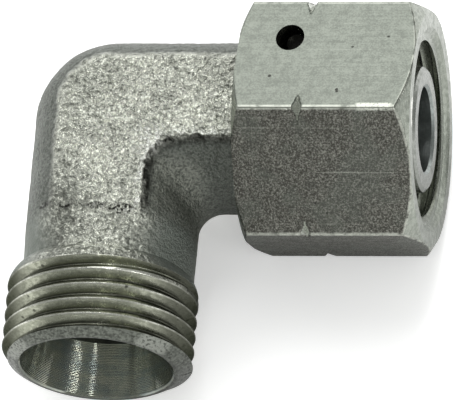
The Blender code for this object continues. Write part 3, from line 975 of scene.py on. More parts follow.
@dataclass(frozen=True)
class ThreadCutter:
    """The helical groove that cuts a metric thread."""

    crest_radius: float
    pitch: float
    first_groove: float
    turns: float
    side: ThreadSide
    lead_in_turns: float = 1.5
    runout_turns: float = 0.5
    steps_per_turn: int = 128
    overshoot: float = 0.03 * MM
    edge_break: float = 0.1 * MM
    root_shoulder: float = 0.96

    def depth(self) -> float:
        """Return the depth of the groove below the crest."""
        male = self.side is ThreadSide.MALE
        return (MALE_THREAD_DEPTH if male else FEMALE_THREAD_DEPTH) * self.pitch

    def section(self) -> Profile:
        """Return the groove's section.

        Returns:
            Points as (distance along, depth from the crest), widest first.
        """
        depth = self.depth()
        flank = math.tan(FLANK_ANGLE)
        half_root = self.pitch / 12 if self.side is ThreadSide.MALE else self.pitch / 16
        half_crest = half_root + depth * flank
        half = [
            (half_crest + self.edge_break, -self.overshoot),
            (half_crest + self.edge_break, 0.0),
            (half_crest - self.edge_break * flank, self.edge_break),
            (half_root, depth * self.root_shoulder),
            (half_root * 0.5, depth),
        ]
        return [(-along, deep) for along, deep in half] + half[::-1]

    def build(self) -> bmesh.types.BMesh:
        """Sweep the section along a right-hand helix.

        Returns:
            The closed tool, which rises out of the work at its inner end.
        """
        first = round(-self.turns * self.steps_per_turn)
        last = round(self.lead_in_turns * self.steps_per_turn)
        section = self.section()
        rows = []
        for step in range(first, last):
            turn = (step + 0.5) / self.steps_per_turn
            risen = max(0.0, 1.0 - (turn + self.turns) / self.runout_turns) * self.depth()
            rows.append([self._point(along, deep - risen, turn) for along, deep in section])
        return skin_rows(rows)

    def _point(self, along: float, deep: float, turn: float) -> Vector:
        """Place one corner of the swept section.

        Args:
            along: Its distance along the axis from the groove's middle.
            deep: Its depth from the crest.
            turn: How far the helix has turned, 1 for each full turn.

        Returns:
            The corner's place.
        """
        radius = self.crest_radius + self.side.value * deep
        angle = 2 * math.pi * turn
        axial = self.first_groove + self.pitch * turn + along
        return Vector((axial, -radius * math.sin(angle), radius * math.cos(angle)))


@dataclass(frozen=True)
class WireGroove:
    """The round channel for the retaining wire, half in the stem and half in the nut."""

    plane: float = 17.8 * MM
    ring_radius: float = 7.05 * MM
    radius: float = 1.2 * MM
    steps: int = 14

    def in_stem(self, stem_radius: float) -> Profile:
        """Return the half under a stem's surface, from its back to its front."""
        opening = math.degrees(math.asin((self.ring_radius - stem_radius) / self.radius))
        return self._sweep(180 + opening, 360 - opening)

    def in_bore(self, bore_radius: float) -> Profile:
        """Return the half outside a bore's surface, from its front to its back."""
        opening = math.degrees(math.asin((self.ring_radius - bore_radius) / self.radius))
        return self._sweep(-opening, 180 + opening)

    def _sweep(self, first: float, last: float) -> Profile:
        """Return the channel's outline between two angles in degrees."""
        return arc((self.plane, self.ring_radius), self.radius, first, last, self.steps)


@dataclass
class ForgedElbow:
    """The elbow: a forged bend with a threaded male end and a turned cone nose."""

    arm_half_width: float = 7.8 * MM
    leg_half_width: float = 8.0 * MM
    leg_shift: float = 0.35 * MM
    land_half_width: float = 4.0 * MM
    land_height: float = 8.0 * MM
    outer_corner_radius: float = 8.1 * MM
    outer_corner_steps: int = 24
    inner_corner_radius: float = 2.3 * MM
    inner_corner_growth: float = 0.25
    inner_corner_steps: int = 12
    arm_forged_length: float = 12.6 * MM
    leg_forged_length: float = 12.8 * MM
    land_end_slope: float = 0.3
    wall_steps: int = 16
    neck_overlap: float = 6.0 * MM
    neck_blend: Span = (10.6 * MM, 14.6 * MM)
    neck_steps: int = 96
    land_crown: float = 0.2 * MM
    crown_run: float = 2.5 * MM
    crown_power: float = 0.7
    crown_levels: Band = ((0.12 * MM, 0.7 * MM), (0.2 * MM, 1.6 * MM))
    land_edge: float = 0.4 * MM
    male_face: float = 24.3 * MM
    face_edge: Span = (0.03 * MM, 0.06 * MM)
    thread_radius: float = 8.95 * MM
    thread_pitch: float = 1.5 * MM
    first_groove: float = 23.2 * MM
    thread_turns: float = 4.5
    thread_start: float = 17.2 * MM
    thread_runout: float = 0.66 * MM
    chamfer_length: float = 0.8 * MM
    chamfer_depth: float = 1.3 * MM
    chamfer_margin: float = 0.02 * MM
    shoulder_length: float = 2.65 * MM
    shoulder_height: float = 1.6 * MM
    shoulder_power: float = 2.4
    shoulder_steps: int = 12
    cone_mouth_radius: float = 7.15 * MM
    cone_half_angle: float = math.radians(12)
    mouth_break: float = 0.13 * MM
    tube_bore_radius: float = 6.1 * MM
    tube_stop_depth: float = 7.0 * MM
    leg_bore_radius: float = 5.0 * MM
    leg_bore_overrun: float = 2.0 * MM
    drill_half_angle: float = math.radians(59)
    stem_radius: float = 6.9 * MM
    nose_end: float = 29.3 * MM
    nose_end_radius: float = 5.8 * MM
    nose_edge_break: float = 0.25 * MM
    nose_bore_radius: float = 4.0 * MM
    ring_setback: float = 2.8 * MM
    ring_groove_floor: float = 5.0 * MM
    ring_groove_half: float = 1.05 * MM
    wire: WireGroove = WireGroove()
    tool_clearance: float = 1.0 * MM
    voxel: float = 0.165 * MM
    settle_rounds: int = 6
    settle_probe: float = 0.01 * MM
    least_steepness: float = 0.2
    lump_size: float = 3.2 * MM
    lump_height: float = 0.05 * MM
    lump_falloff: float = 0.8
    lump_ratio: float = 2.1
    lump_octaves: int = 3
    blast_size: float = 0.5 * MM
    blast_height: float = 0.11 * MM
    blast_share: Span = (0.3, 1.0)
    land_facing: Span = (0.55, 0.9)
    flash_height: float = 0.06 * MM
    flash_width: float = 0.35 * MM
    feed: float = 0.15 * MM
    feed_height: float = 0.009 * MM
    bore_steps: int = 96
    round_steps: int = 160
    crisp_angle: float = 36.0

    def wall_radius(self) -> float:
        """Return the radius to which the walls bow."""
        run = self.arm_half_width - self.land_half_width
        return (run**2 + self.land_height**2) / (2 * run)

    def outline(self, inset: float) -> Profile:
        """Return the bend's outline seen from above.

        Args:
            inset: How far the outline is drawn in from the parting line.

        Returns:
            The corners of the closed outline.
        """
        arm = self.arm_half_width - inset
        leg_outer = self.leg_shift - self.leg_half_width + inset
        leg_inner = self.leg_shift + self.leg_half_width - inset
        leg_end = -self.leg_forged_length + self.land_end_slope * inset
        outer = self.outer_corner_radius - inset
        inner = self.inner_corner_radius + self.inner_corner_growth * inset
        return [
            *arc((leg_outer + outer, arm - outer), outer, 90, 180, self.outer_corner_steps),
            (leg_outer, leg_end),
            (leg_inner, leg_end),
            *arc((leg_inner + inner, -arm - inner), inner, 180, 90, self.inner_corner_steps),
            (self.arm_forged_length, -arm),
            (self.arm_forged_length, arm),
        ]

    def levels(self) -> Profile:
        """Return the bend's levels from the parting plane up to the land's crown.

        Returns:
            Each level's height and how far its outline is drawn in.
        """
        run = self.arm_half_width - self.land_half_width
        wall = self.wall_radius()
        top = math.asin(self.land_height / wall)
        angles = [top * step / self.wall_steps for step in range(self.wall_steps + 1)]
        levels = [(wall * math.sin(angle), wall * (1 - math.cos(angle))) for angle in angles]
        return levels + [(self.land_height + up, run + inset) for up, inset in self.crown_levels]

    def bend(self, place: Matrix, finish: bpy.types.Material) -> bpy.types.Object:
        """Build the forged bend and neck as one soft-edged skin.

        Args:
            place: The elbow's frame.
            finish: The skin's finish.

        Returns:
            The skin, in the row frame.
        """
        upper = self.levels()
        lower = [(-height, inset) for height, inset in reversed(upper[1:])]
        rows = [
            [Vector((x, y, height)) for x, y in self.outline(inset)]
            for height, inset in lower + upper
        ]
        bend = solid("forged_elbow", skin_rows(rows), Matrix.Identity(4), finish)
        neck_start = self.leg_forged_length - self.neck_overlap
        ends = [(self.thread_start, self.leg_half_width), (neck_start, self.leg_half_width)]
        neck = revolve(ends, self.neck_steps)
        shift = Matrix.Translation((self.leg_shift, 0.0, 0.0))
        down_leg = shift @ Matrix.Rotation(-math.pi / 2, 4, "Z")
        apply_cut(bend, solid("neck", neck, down_leg, finish), Cut.JOIN)
        step = bend.modifiers.new("skin", "REMESH")
        step.mode = "VOXEL"
        step.voxel_size = self.voxel
        bake_modifiers(bend)
        self.settle(bend.data)
        self.roughen(bend.data)
        bend.data.transform(place)
        return bend

    def plan_distance(self, x: np.ndarray, y: np.ndarray, inset: np.ndarray) -> np.ndarray:
        """Return how far points stand outside the bend's outline at each point's own inset.

        Args:
            x: Distances along the arm.
            y: Distances across it.
            inset: How far the outline is drawn in at each point's height.

        Returns:
            Signed distances, positive outside.
        """
        arm = self.arm_half_width - inset
        left = self.leg_shift - self.leg_half_width + inset
        right = self.leg_shift + self.leg_half_width - inset
        outer = self.outer_corner_radius - inset
        across = left - x + outer
        above = y - arm + outer
        rounded = np.hypot(np.maximum(across, 0), np.maximum(above, 0)) - outer
        rounded += np.minimum(np.maximum(across, above), 0)
        inner = self.inner_corner_radius + self.inner_corner_growth * inset
        below = -y - arm
        beyond = x - right
        hollow = np.maximum(inner, np.minimum(below, beyond))
        hollow -= np.hypot(np.maximum(inner - below, 0), np.maximum(inner - beyond, 0))
        return np.maximum(rounded, hollow)

    def skin_distance(self, spots: np.ndarray) -> np.ndarray:
        """Return how far points stand outside the forging's smooth skin.

        Args:
            spots: The points, one row each, in the elbow's frame.

        Returns:
            Signed distances, positive outside.
        """
        x, y, z = spots.T
        height = np.abs(z)
        wall = self.wall_radius()
        inset = wall - np.sqrt(wall**2 - np.minimum(height, self.land_height) ** 2)
        side = self.plan_distance(x, y, inset)
        crown = self.land_crown * np.clip(-side / self.crown_run, 0.0, 1.0) ** self.crown_power
        top = height - self.land_height - crown
        block = -smooth_min(-side, -top, self.land_edge)
        neck = np.hypot(x - self.leg_shift, z) - self.leg_half_width
        low, high = self.neck_blend
        share = np.clip((-y - low) / (high - low), 0.0, 1.0)
        share = share * share * (3 - 2 * share)
        skin = block * (1 - share) + neck * share
        return np.maximum(np.maximum(skin, x - self.arm_forged_length), -y - self.thread_start)

    def settle(self, mesh: bpy.types.Mesh) -> None:
        """Move every point of the remeshed skin onto the forging's smooth form.

        Args:
            mesh: The skin, in the elbow's frame.
        """
        spots = read_rows(mesh.vertices, "co")
        steps = np.eye(3) * self.settle_probe
        for _ in range(self.settle_rounds):
            here = self.skin_distance(spots)
            slope = np.stack([self.skin_distance(spots + step) - here for step in steps], axis=1)
            slope /= self.settle_probe
            steepness = np.maximum((slope**2).sum(axis=1), self.least_steepness)
            spots -= slope * (here / steepness)[:, None]
        mesh.vertices.foreach_set("co", spots.ravel())
        mesh.update()

    def roughen(self, mesh: bpy.types.Mesh) -> None:
        """Raise the forging's lumps, its dimples and the trimmed flash at the parting line.

        Args:
            mesh: The settled skin, in the elbow's frame.
        """
        spots = read_rows(mesh.vertices, "co")
        normals = read_rows(mesh.vertex_normals, "vector")
        layers = (self.lump_falloff, self.lump_ratio, self.lump_octaves)
        lumps = [noise.fractal(Vector(s) / self.lump_size, *layers) for s in spots]
        blast = [noise.noise(Vector(s) / self.blast_size) for s in spots]
        low, high = self.land_facing
        land = np.clip((np.abs(normals[:, 2]) - low) / (high - low), 0.0, 1.0)
        least, most = self.blast_share
        rise = np.array(lumps) * self.lump_height
        rise += np.array(blast) * self.blast_height * (least + (most - least) * land)
        rise += np.exp(-((spots[:, 2] / self.flash_width) ** 2)) * self.flash_height
        mesh.vertices.foreach_set("co", (spots + normals * rise[:, None]).ravel())
        mesh.update()

    def male_end(self, place: Matrix, finish: bpy.types.Material) -> bpy.types.Object:
        """Build the turned male end.

        Args:
            place: The leg's frame.
            finish: The cut thread's finish.

        Returns:
            The solid that joins the bend.
        """
        shares = [step / self.shoulder_steps for step in range(self.shoulder_steps + 1)]
        shoulder = [
            (
                self.thread_start - self.shoulder_length * share,
                self.thread_radius - self.shoulder_height * share**self.shoulder_power,
            )
            for share in shares
        ]
        face_radius = self.thread_radius - self.chamfer_depth
        profile = [
            (self.male_face, face_radius - self.face_edge[1]),
            (self.male_face - self.face_edge[0], face_radius),
            (self.male_face - self.chamfer_length, self.thread_radius),
            *shoulder,
        ]
        return solid("male_end", revolve(profile, self.round_steps), place, finish)

    def thread_groove(self, place: Matrix, finish: bpy.types.Material) -> bpy.types.Object:
        """Build the tool for the male thread."""
        cutter = ThreadCutter(
            crest_radius=self.thread_radius,
            pitch=self.thread_pitch,
            first_groove=self.first_groove,
            turns=self.thread_turns,
            side=ThreadSide.MALE,
        )
        return solid("thread_groove", cutter.build(), place, finish)

    def stem(self, place: Matrix, finish: bpy.types.Material) -> bpy.types.Object:
        """Build the turned stem with its wire groove, ring groove and cone nose.

        Args:
            place: The elbow's frame.
            finish: The turned nose's finish.

        Returns:
            The solid that joins the bend.
        """
        slope = math.tan(self.cone_half_angle)
        cone_start = self.nose_end - (self.stem_radius - self.nose_end_radius) / slope
        ring_plane = self.nose_end - self.ring_setback

        def cone(along: float) -> float:
            """Return the cone's radius at a distance along the arm."""
            return self.stem_radius - (along - cone_start) * slope

        back = ring_plane - self.ring_groove_half
        front = ring_plane + self.ring_groove_half
        profile = [
            (0.0, self.stem_radius),
            *self.wire.in_stem(self.stem_radius),
            (cone_start, self.stem_radius),
            (back, cone(back)),
            (back, self.ring_groove_floor),
            (front, self.ring_groove_floor),
            (front, cone(front)),
            (self.nose_end - self.nose_edge_break, cone(self.nose_end - self.nose_edge_break)),
            (self.nose_end, self.nose_end_radius - self.nose_edge_break),
        ]
        return solid("stem", revolve(profile, self.round_steps), place, finish)

    def leg_bores(self, place: Matrix, finish: bpy.types.Material) -> bpy.types.Object:
        """Build the tool for the cone socket and the bore up the leg.

        Args:
            place: The leg's frame.
            finish: The bored socket's finish.

        Returns:
            The tool.
        """
        depth = (self.cone_mouth_radius - self.tube_bore_radius) / math.tan(self.cone_half_angle)
        mouth = self.male_face - self.mouth_break
        stop = self.male_face - self.tube_stop_depth
        tip = self.leg_bore_radius / math.tan(self.drill_half_angle)
        clear = self.tool_clearance
        cone_end = (mouth - depth, self.tube_bore_radius)
        profile = [
            (self.male_face + clear, self.cone_mouth_radius + self.mouth_break + clear),
            *self.feed_ridges((mouth, self.cone_mouth_radius), cone_end),
            (stop, self.tube_bore_radius),
            (stop, self.leg_bore_radius),
            (-self.leg_bore_overrun, self.leg_bore_radius),
            (-self.leg_bore_overrun - tip, 0.0),
        ]
        return solid("leg_bores", revolve(profile, self.bore_steps), place, finish)

    def feed_ridges(self, first: Span, last: Span) -> Profile:
        """Draw a line with the fine ridges that the cutting tool's feed leaves.

        Args:
            first: The line's first point.
            last: Its last point.

        Returns:
            Points as (distance along, radius), four to a ridge.
        """
        steps = 4 * round(abs(first[0] - last[0]) / self.feed)
        points = []
        for step in range(steps + 1):
            share = step / steps
            along, radius = (start + (end - start) * share for start, end in zip(first, last))
            points.append((along, radius + self.feed_height * math.sin(math.pi * step / 2)))
        return points

    def nose_bore(self, place: Matrix, finish: bpy.types.Material) -> bpy.types.Object:
        """Build the tool for the bore through the nose.

        Args:
            place: The elbow's frame.
            finish: The drilled bore's finish.

        Returns:
            The tool.
        """
        edge = self.nose_edge_break
        clear = self.tool_clearance
        profile = [
            (self.nose_end + clear, self.nose_bore_radius + edge + clear),
            (self.nose_end - edge, self.nose_bore_radius),
            (0.0, self.nose_bore_radius),
        ]
        return solid("nose_bore", revolve(profile, self.bore_steps), place, finish)

    def build(self, placement: Placement) -> bpy.types.Object:
        """Build the whole elbow as one closed solid and dress it.

        Args:
            placement: Where the fitting lies.

        Returns:
            The finished piece.
        """
        arm, leg = placement.elbow, placement.leg
        skin = ForgedZinc().material(arm)
        threaded = CUT_THREAD.material(leg)
        body = self.bend(arm, skin)
        apply_cut(body, self.male_end(leg, threaded), Cut.JOIN)
        apply_cut(body, self.thread_groove(leg, threaded), Cut.REMOVE)
        apply_cut(body, self.stem(arm, TURNED_NOSE.material(arm)), Cut.JOIN)
        apply_cut(body, self.leg_bores(leg, BORED_SOCKET.material(leg)), Cut.REMOVE)
        apply_cut(body, self.nose_bore(arm, DRILLED_BORE.material(arm)), Cut.REMOVE)
        shoulder_start = self.thread_start - 2 * self.shoulder_length
        shoulder = (shoulder_start, self.thread_start - self.thread_runout)
        claim(body.data, leg, shoulder, threaded, skin)
        chamfer_start = self.male_face - self.chamfer_length - self.chamfer_margin
        chamfer = (chamfer_start, self.male_face + self.tool_clearance)
        claim(body.data, leg, chamfer, threaded, FACED_END.material(leg))
        shade_smooth(body, self.crisp_angle)
        return body


@dataclass
class SwivelNut:
    """The hexagon nut, with chamfered ends, notched corners, collar and female thread."""

    back: float = 13.0 * MM
    end: float = 29.75 * MM
    half_flats: float = 11.0 * MM
    back_chamfer_angle: float = math.radians(30)
    back_chamfer_recess: float = 0.84 * MM
    front_chamfer_angle: float = math.radians(35)
    front_chamfer_recess: float = 1.2 * MM
    corner_softness: float = 0.16 * MM
    edge_softness: float = 0.12 * MM
    notch_softness: float = 0.06 * MM
    notch_plane: float = 19.4 * MM
    notch_floor: float = 11.95 * MM
    notch_slope: float = 1.4
    bore_radius: float = 7.2 * MM
    rear_break: float = 0.5 * MM
    collar_length: float = 7.3 * MM
    thread_radius: float = 8.95 * MM
    thread_pitch: float = 1.5 * MM
    thread_turns: float = 4.6
    mouth_radius: float = 9.5 * MM
    mouth_depth: float = 0.45 * MM
    mouth_edge: float = 0.06 * MM
    wire: WireGroove = WireGroove()
    wire_hole_radius: float = 1.34 * MM
    wire_hole_offset: float = 2.0 * MM
    wire_hole_steps: int = 48
    tool_clearance: float = 1.0 * MM
    zone_lengths: Triple = (1.3 * MM, 0.9 * MM, 2.0 * MM)
    zone_rings: tuple[int, int, int] = (16, 19, 26)
    plain_rings: tuple[int, int] = (6, 9)
    steps_per_flat: int = 44
    corner_crowding: float = 1.35
    finish_margin: float = 0.02 * MM
    end_face_depth: float = 0.01 * MM
    crisp_angle: float = 30.0

    def thread_core(self) -> float:
        """Return the radius of the thread's crests."""
        return self.thread_radius - FEMALE_THREAD_DEPTH * self.thread_pitch

    def stations(self) -> np.ndarray:
        """Return where the outside's rings lie.

        Returns:
            Distances along the axis, close together at the back chamfer, the notch and the
            front chamfer.
        """
        zones, rings, plain = self.zone_lengths, self.zone_rings, self.plain_rings
        back = np.linspace(self.back, self.back + zones[0], rings[0])
        notch = np.linspace(self.notch_plane - zones[1], self.notch_plane + zones[1], rings[1])
        front = np.linspace(self.end - zones[2], self.end, rings[2])
        between = np.linspace(back[-1], notch[0], plain[0])[1:-1]
        beyond = np.linspace(notch[-1], front[0], plain[1])[1:-1]
        return np.concatenate([back, between, notch, beyond, front])

    def angles(self) -> np.ndarray:
        """Return the angles of the points on each ring, close together at the corners.

        Returns:
            Angles round the axis, starting at a corner.
        """
        share = np.linspace(-1.0, 1.0, self.steps_per_flat + 1)[:-1]
        crowded = 1.0 - (1.0 - np.abs(share)) ** self.corner_crowding
        flat = HALF_HEX_SECTOR * np.sign(share) * crowded
        return np.concatenate([flat + HEX_SECTOR * index for index in range(6)])

    def outside(self, angle: np.ndarray, along: np.ndarray) -> tuple[np.ndarray, np.ndarray]:
        """Return the outer radius and the finish round the axis at distances along it.

        Args:
            angle: Angles round the axis.
            along: Distances along it.

        Returns:
            The radius, and the slot of the finish: 0 drawn, 1 turned, 2 notched.
        """
        sector = np.mod(angle + HALF_HEX_SECTOR, HEX_SECTOR) - HALF_HEX_SECTOR
        flat = self.half_flats / np.cos(sector)
        next_flat = self.half_flats / np.cos(HEX_SECTOR - np.abs(sector))
        bar = smooth_min(flat, next_flat, self.corner_softness)
        corner = self.half_flats / math.cos(HALF_HEX_SECTOR)
        rear_edge = self.back + self.back_chamfer_recess
        front_edge = self.end - self.front_chamfer_recess
        rear = corner + (along - rear_edge) / math.tan(self.back_chamfer_angle)
        front = corner + (front_edge - along) / math.tan(self.front_chamfer_angle)
        notch = self.notch_floor + self.notch_slope * np.abs(along - self.notch_plane)
        turned = np.minimum(rear, front)
        chamfered = turned < bar - self.finish_margin
        slot = np.where(chamfered | (along > self.end - self.end_face_depth), 1, 0)
        slot = np.where(notch < np.minimum(bar, turned) - self.finish_margin, 2, slot)
        shaped = smooth_min(bar, turned, self.edge_softness)
        return smooth_min(shaped, notch, self.notch_softness), slot

    def bore_profile(self) -> Profile:
        """Return the inside, from the end face to the back face.

        Returns:
            Points as (distance along, radius).
        """
        core = self.thread_core()
        collar_end = self.back + self.collar_length
        return [
            (self.end, self.mouth_radius + self.mouth_edge),
            (self.end - self.mouth_edge, self.mouth_radius),
            (self.end - self.mouth_depth, self.thread_radius),
            (self.end - self.mouth_depth - self.mouth_edge, core),
            (collar_end + core - self.bore_radius, core),
            (collar_end, self.bore_radius),
            *self.wire.in_bore(self.bore_radius),
            (self.back + self.rear_break, self.bore_radius),
            (self.back, self.bore_radius + self.rear_break),
        ]

    def shell(self) -> bmesh.types.BMesh:
        """Build the nut as rings round its axis: outside, end face, inside, back face.

        Returns:
            The closed solid, each face with the slot of its finish.
        """
        angles = self.angles()
        inner = np.ones(len(angles), dtype=int)
        rings = []
        for along in self.stations():
            rings.append((along, *self.outside(angles, np.full_like(angles, along))))
        for along, radius in self.bore_profile():
            rings.append((along, np.full_like(angles, radius), inner))
        shape = bmesh.new()
        rows = []
        for along, radius, slots in rings:
            points = zip(radius * np.sin(angles), radius * np.cos(angles))
            rows.append(([shape.verts.new((along, *point)) for point in points], slots))
        for (low, low_slots), (high, high_slots) in zip(rows, rows[1:] + rows[:1]):
            for index in range(len(low)):
                pair = (index, (index + 1) % len(low))
                corners = (low[pair[0]], low[pair[1]], high[pair[1]], high[pair[0]])
                near = [row[column] for row in (low_slots, high_slots) for column in pair]
                shape.faces.new(corners).material_index = int(min(near))
        return shape

    def wire_hole(self) -> tuple[Vector, Vector, float]:
        """Work out the slanting hole that the wire was fed through.

        Returns:
            Where it meets the wire's ring, its direction outward, and its length.
        """
        ring = self.wire.ring_radius
        reach = math.hypot(self.wire_hole_offset, self.half_flats)
        slant = math.asin(ring / reach) - math.atan2(self.wire_hole_offset, self.half_flats)
        foot = Vector((self.wire.plane, math.cos(slant) * ring, math.sin(slant) * ring))
        outward = Vector((0.0, -math.sin(slant), math.cos(slant)))
        return foot, outward, math.sqrt(reach**2 - ring**2)

    def build(self, placement: Placement) -> bpy.types.Object:
        """Build the nut, cut its thread and wire hole, and dress it.

        Args:
            placement: Where the fitting lies.

        Returns:
            The finished piece.
        """
        place = placement.nut
        inside = NUT_THREAD.material(place)
        nut = solid("hexagon_nut", self.shell(), place, DrawnZinc().material(place))
        nut.data.materials.append(TURNED_CHAMFER.material(place))
        nut.data.materials.append(NOTCHED_CORNER.material(place))
        cutter = ThreadCutter(
            crest_radius=self.thread_core(),
            pitch=self.thread_pitch,
            first_groove=self.end - 0.5 * self.thread_pitch,
            turns=self.thread_turns,
            side=ThreadSide.FEMALE,
        )
        apply_cut(nut, solid("female_groove", cutter.build(), place, inside), Cut.REMOVE)
        foot, outward, length = self.wire_hole()
        length += self.tool_clearance
        ends = [(0.0, self.wire_hole_radius), (length, self.wire_hole_radius)]
        hole = revolve(ends, self.wire_hole_steps)
        aim = frame_matrix(foot, outward, WORLD_X)
        apply_cut(nut, solid("hole_tool", hole, place @ aim, inside), Cut.REMOVE)
        shade_smooth(nut, self.crisp_angle)
        return nut


@dataclass
class RetainingWire:
    """The wire ring between nut and stem, with its end standing in the hole."""

    radius: float = 0.9 * MM
    end_depth: float = 3.2 * MM
    turn: float = math.radians(308)
    tail_steps: int = 8
    ring_steps: int = 96
    round_steps: int = 20
    crisp_angle: float = 40.0

    def path(self, nut: SwivelNut) -> list[Vector]:
        """Lead the wire down the hole and round its groove.

        Args:
            nut: The nut that it lies in.

        Returns:
            The points of its centre line.
        """
        foot, outward, length = nut.wire_hole()
        tail = outward * (length - self.end_depth)
        points = [foot + tail * (1 - step / self.tail_steps) for step in range(self.tail_steps)]
        ring = nut.wire.ring_radius
        start = math.atan2(foot.z, foot.y)
        for step in range(self.ring_steps + 1):
            angle = start - self.turn * step / self.ring_steps
            points.append(Vector((foot.x, ring * math.cos(angle), ring * math.sin(angle))))
        return points

    def build(self, nut: SwivelNut, placement: Placement) -> bpy.types.Object:
        """Sweep the wire along its path and dress it.

        Args:
            nut: The nut that it lies in.
            placement: Where the fitting lies.

        Returns:
            The finished piece.
        """
        path = self.path(nut)
        turns = [2 * math.pi * step / self.round_steps for step in range(self.round_steps)]
        rows = []
        for index, point in enumerate(path):
            ahead = (path[min(index + 1, len(path) - 1)] - path[max(index - 1, 0)]).normalized()
            side = ahead.cross(WORLD_X)
            rows.append([
                point + (WORLD_X * math.cos(turn) + side * math.sin(turn)) * self.radius
                for turn in turns
            ])
        # painted shade: the wire's near-black colour stands for the shade in its hole
        finish = WIRE_IN_SHADE.material(placement.nut)
        wire = solid("spring_wire_ring", skin_rows(rows), placement.nut, finish)
        shade_smooth(wire, self.crisp_angle)
        return wire


@dataclass
class SealRing:
    """The rubber ring in the nose's groove."""

    section_radius: float = 0.75 * MM
    groove_floor: float = 5.0 * MM
    gap: float = 0.3 * MM
    plane: float = 26.5 * MM
    section_steps: int = 24
    round_steps: int = 120
    crisp_angle: float = 60.0

    def build(self, placement: Placement) -> bpy.types.Object:
        """Build the ring and dress it.

        Args:
            placement: Where the fitting lies.

        Returns:
            The finished piece.
        """
        centre = (self.plane, self.groove_floor + self.gap + self.section_radius)
        section = arc(centre, self.section_radius, 0, 360, self.section_steps)[:-1]
        shape = revolve(section, self.round_steps, closed=True)
        finish = SealRubber().material(placement.elbow)
        ring = solid("nitrile_ring", shape, placement.elbow, finish)
        shade_smooth(ring, self.crisp_angle)
        return ring


@dataclass(frozen=True)
class Lamp:
    """A soft rectangular lamp that faces the fitting."""

    name: str
    spot: Triple
    size: Span
    watts: float

    def hang(self) -> None:
        """Put the lamp in its place."""
        data = bpy.data.lights.new(self.name, "AREA")
        data.shape = "RECTANGLE"
        data.size, data.size_y = self.size
        data.energy = self.watts
        lamp = bpy.data.objects.new(self.name, data)
        lamp.location = self.spot
        lamp.rotation_euler = Vector(self.spot).to_track_quat("Z", "Y").to_euler()
        bpy.context.scene.collection.objects.link(lamp)


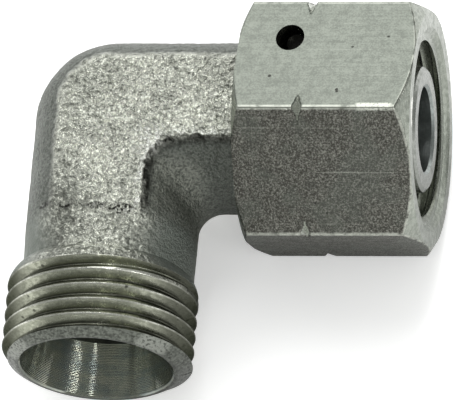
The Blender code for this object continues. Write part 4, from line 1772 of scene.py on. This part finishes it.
@dataclass(frozen=True)
class Studio:
    """The pale floor, the soft lamps and the camera of the photograph.

    The camera's axes are given in the elbow's frame. The glow is the floor's white where
    nothing stands near, and its two powers set how it fades near the fitting, as the camera
    sees it and as metal mirrors it.
    """

    view_right: Triple = (0.98037, 0.08051, -0.17998)
    view_back: Triple = (0.19716, -0.39302, 0.89814)
    corner_pixel: Span = (118.2, 129.2)
    picture: tuple[int, int] = (453, 400)
    pixels_per_metre: float = 10693.0
    distance: float = 1.29
    sensor: float = 36.0
    clip_end: float = 20.0
    floor_size: float = 3.0
    floor_colour: Colour = (0.88, 0.88, 0.88)
    shadow_reach: float = 0.05
    glow: float = 0.68
    seen_fade: float = 0.3
    mirrored_fade: float = 2.5
    room_colour: Colour = (0.97, 1.0, 0.96)
    room_strength: float = 0.3
    lamps: tuple[Lamp, ...] = (
        Lamp("rear_softbox", (-0.12, 0.5, 0.62), (0.9, 1.0), 4.7),
        Lamp("left_softbox", (-0.85, 0.0, 0.3), (0.5, 0.5), 0.35),
        Lamp("overhead_strip", (0.10, 0.25, 0.86), (0.05, 0.5), 0.9),
        Lamp("right_strip", (0.67, -0.45, 0.50), (0.03, 0.45), 0.75),
        Lamp("upper_strip", (0.25, -0.48, 0.72), (0.04, 0.25), 0.35),
        Lamp("front_low_strip", (-0.05, -0.9, 0.07), (0.5, 0.1), 0.5),
    )

    def camera(self, placement: Placement) -> None:
        """Set up the long lens that the photograph was taken with.

        Args:
            placement: Where the fitting lies.
        """
        turn = placement.elbow.to_3x3()
        right = (turn @ Vector(self.view_right)).normalized()
        back = (turn @ Vector(self.view_back)).normalized()
        up = back.cross(right)
        aside = (self.picture[0] / 2 - self.corner_pixel[0]) / self.pixels_per_metre
        below = (self.picture[1] / 2 - self.corner_pixel[1]) / self.pixels_per_metre
        target = placement.elbow.translation + right * aside - up * below
        data = bpy.data.cameras.new("photo_camera")
        data.sensor_width = self.sensor
        data.lens = self.pixels_per_metre * self.distance * self.sensor / self.picture[0]
        data.clip_end = self.clip_end
        camera = bpy.data.objects.new("photo_camera", data)
        bpy.context.scene.collection.objects.link(camera)
        axes = Matrix((right, up, back)).transposed().to_4x4()
        camera.matrix_world = Matrix.Translation(target + back * self.distance) @ axes
        bpy.context.scene.camera = camera

    def floor(self) -> None:
        """Lay the pale floor, which looks white behind the fitting and keeps its shadow."""
        material, graph = shade("pale_floor", self.floor_colour)
        path = graph.node("ShaderNodeLightPath").outputs
        mirrored = Signal(graph, path["Is Glossy Ray"])
        seen = graph.math("MAXIMUM", path["Is Camera Ray"], mirrored)
        seen = graph.math("MAXIMUM", seen, path["Is Transmission Ray"])
        colour = {"Color": opaque(self.floor_colour)}
        matt = graph.node("ShaderNodeBsdfDiffuse", None, colour).outputs[0]
        near = graph.node("ShaderNodeAmbientOcclusion", None, {"Distance": self.shadow_reach})
        clear = Signal(graph, near.outputs["AO"])
        glow = clear**self.seen_fade * (1 - mirrored) + clear**self.mirrored_fade * mirrored
        inputs = {"Color": (1.0, 1.0, 1.0, 1.0), "Strength": glow * self.glow}
        white = graph.node("ShaderNodeEmission", None, inputs).outputs[0]
        lit = graph.node("ShaderNodeAddShader", None, {0: matt, 1: white}).outputs[0]
        both = graph.node("ShaderNodeMixShader", None, {0: seen, 1: matt, 2: lit}).outputs[0]
        graph.node("ShaderNodeOutputMaterial", None, {"Surface": both})
        shape = bmesh.new()
        bmesh.ops.create_grid(shape, x_segments=1, y_segments=1, size=self.floor_size / 2)
        floor = solid("studio_floor", shape, Matrix.Identity(4), material)

    def world(self) -> None:
        """Fill the room with an even grey light."""
        world = bpy.data.worlds.new("studio_room")
        world.use_nodes = True
        bpy.context.scene.world = world
        graph = Graph(world.node_tree)
        inputs = {"Color": opaque(self.room_colour), "Strength": self.room_strength}
        fill = graph.node("ShaderNodeBackground", None, inputs)
        graph.node("ShaderNodeOutputWorld", None, {"Surface": fill.outputs[0]})

    def build(self, placement: Placement) -> None:
        """Set the whole studio up.

        Args:
            placement: Where the fitting lies.
        """
        self.floor()
        self.world()
        self.camera(placement)
        for lamp in self.lamps:
            lamp.hang()
        bpy.context.scene.view_settings.view_transform = "Standard"


def dress(piece: bpy.types.Object, node: str, body: str) -> None:
    """Let a piece stand for its CAD node.

    Args:
        piece: The finished piece.
        node: The CAD node that it replaces.
        body: The body that it rides on.
    """
    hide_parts(node)
    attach(piece, body)
    LOG.info("%s: %d faces on %s", piece.name, len(piece.data.polygons), body)


def main() -> None:
    """Build and dress the fitting and light it, logging each piece's face count."""
    logging.basicConfig(level=logging.INFO, format="%(message)s")
    placement = Placement.read(frame["record"], axis_offset=13.0 * MM)
    nut = SwivelNut()
    dress(ForgedElbow().build(placement), "elbow_body", "elbow")
    dress(SealRing().build(placement), "o_ring", "elbow")
    dress(nut.build(placement), "swivel_nut", "nut")
    dress(RetainingWire().build(nut, placement), "retaining_wire", "nut")
    Studio().build(placement)


if __name__ == "__main__":
    main()
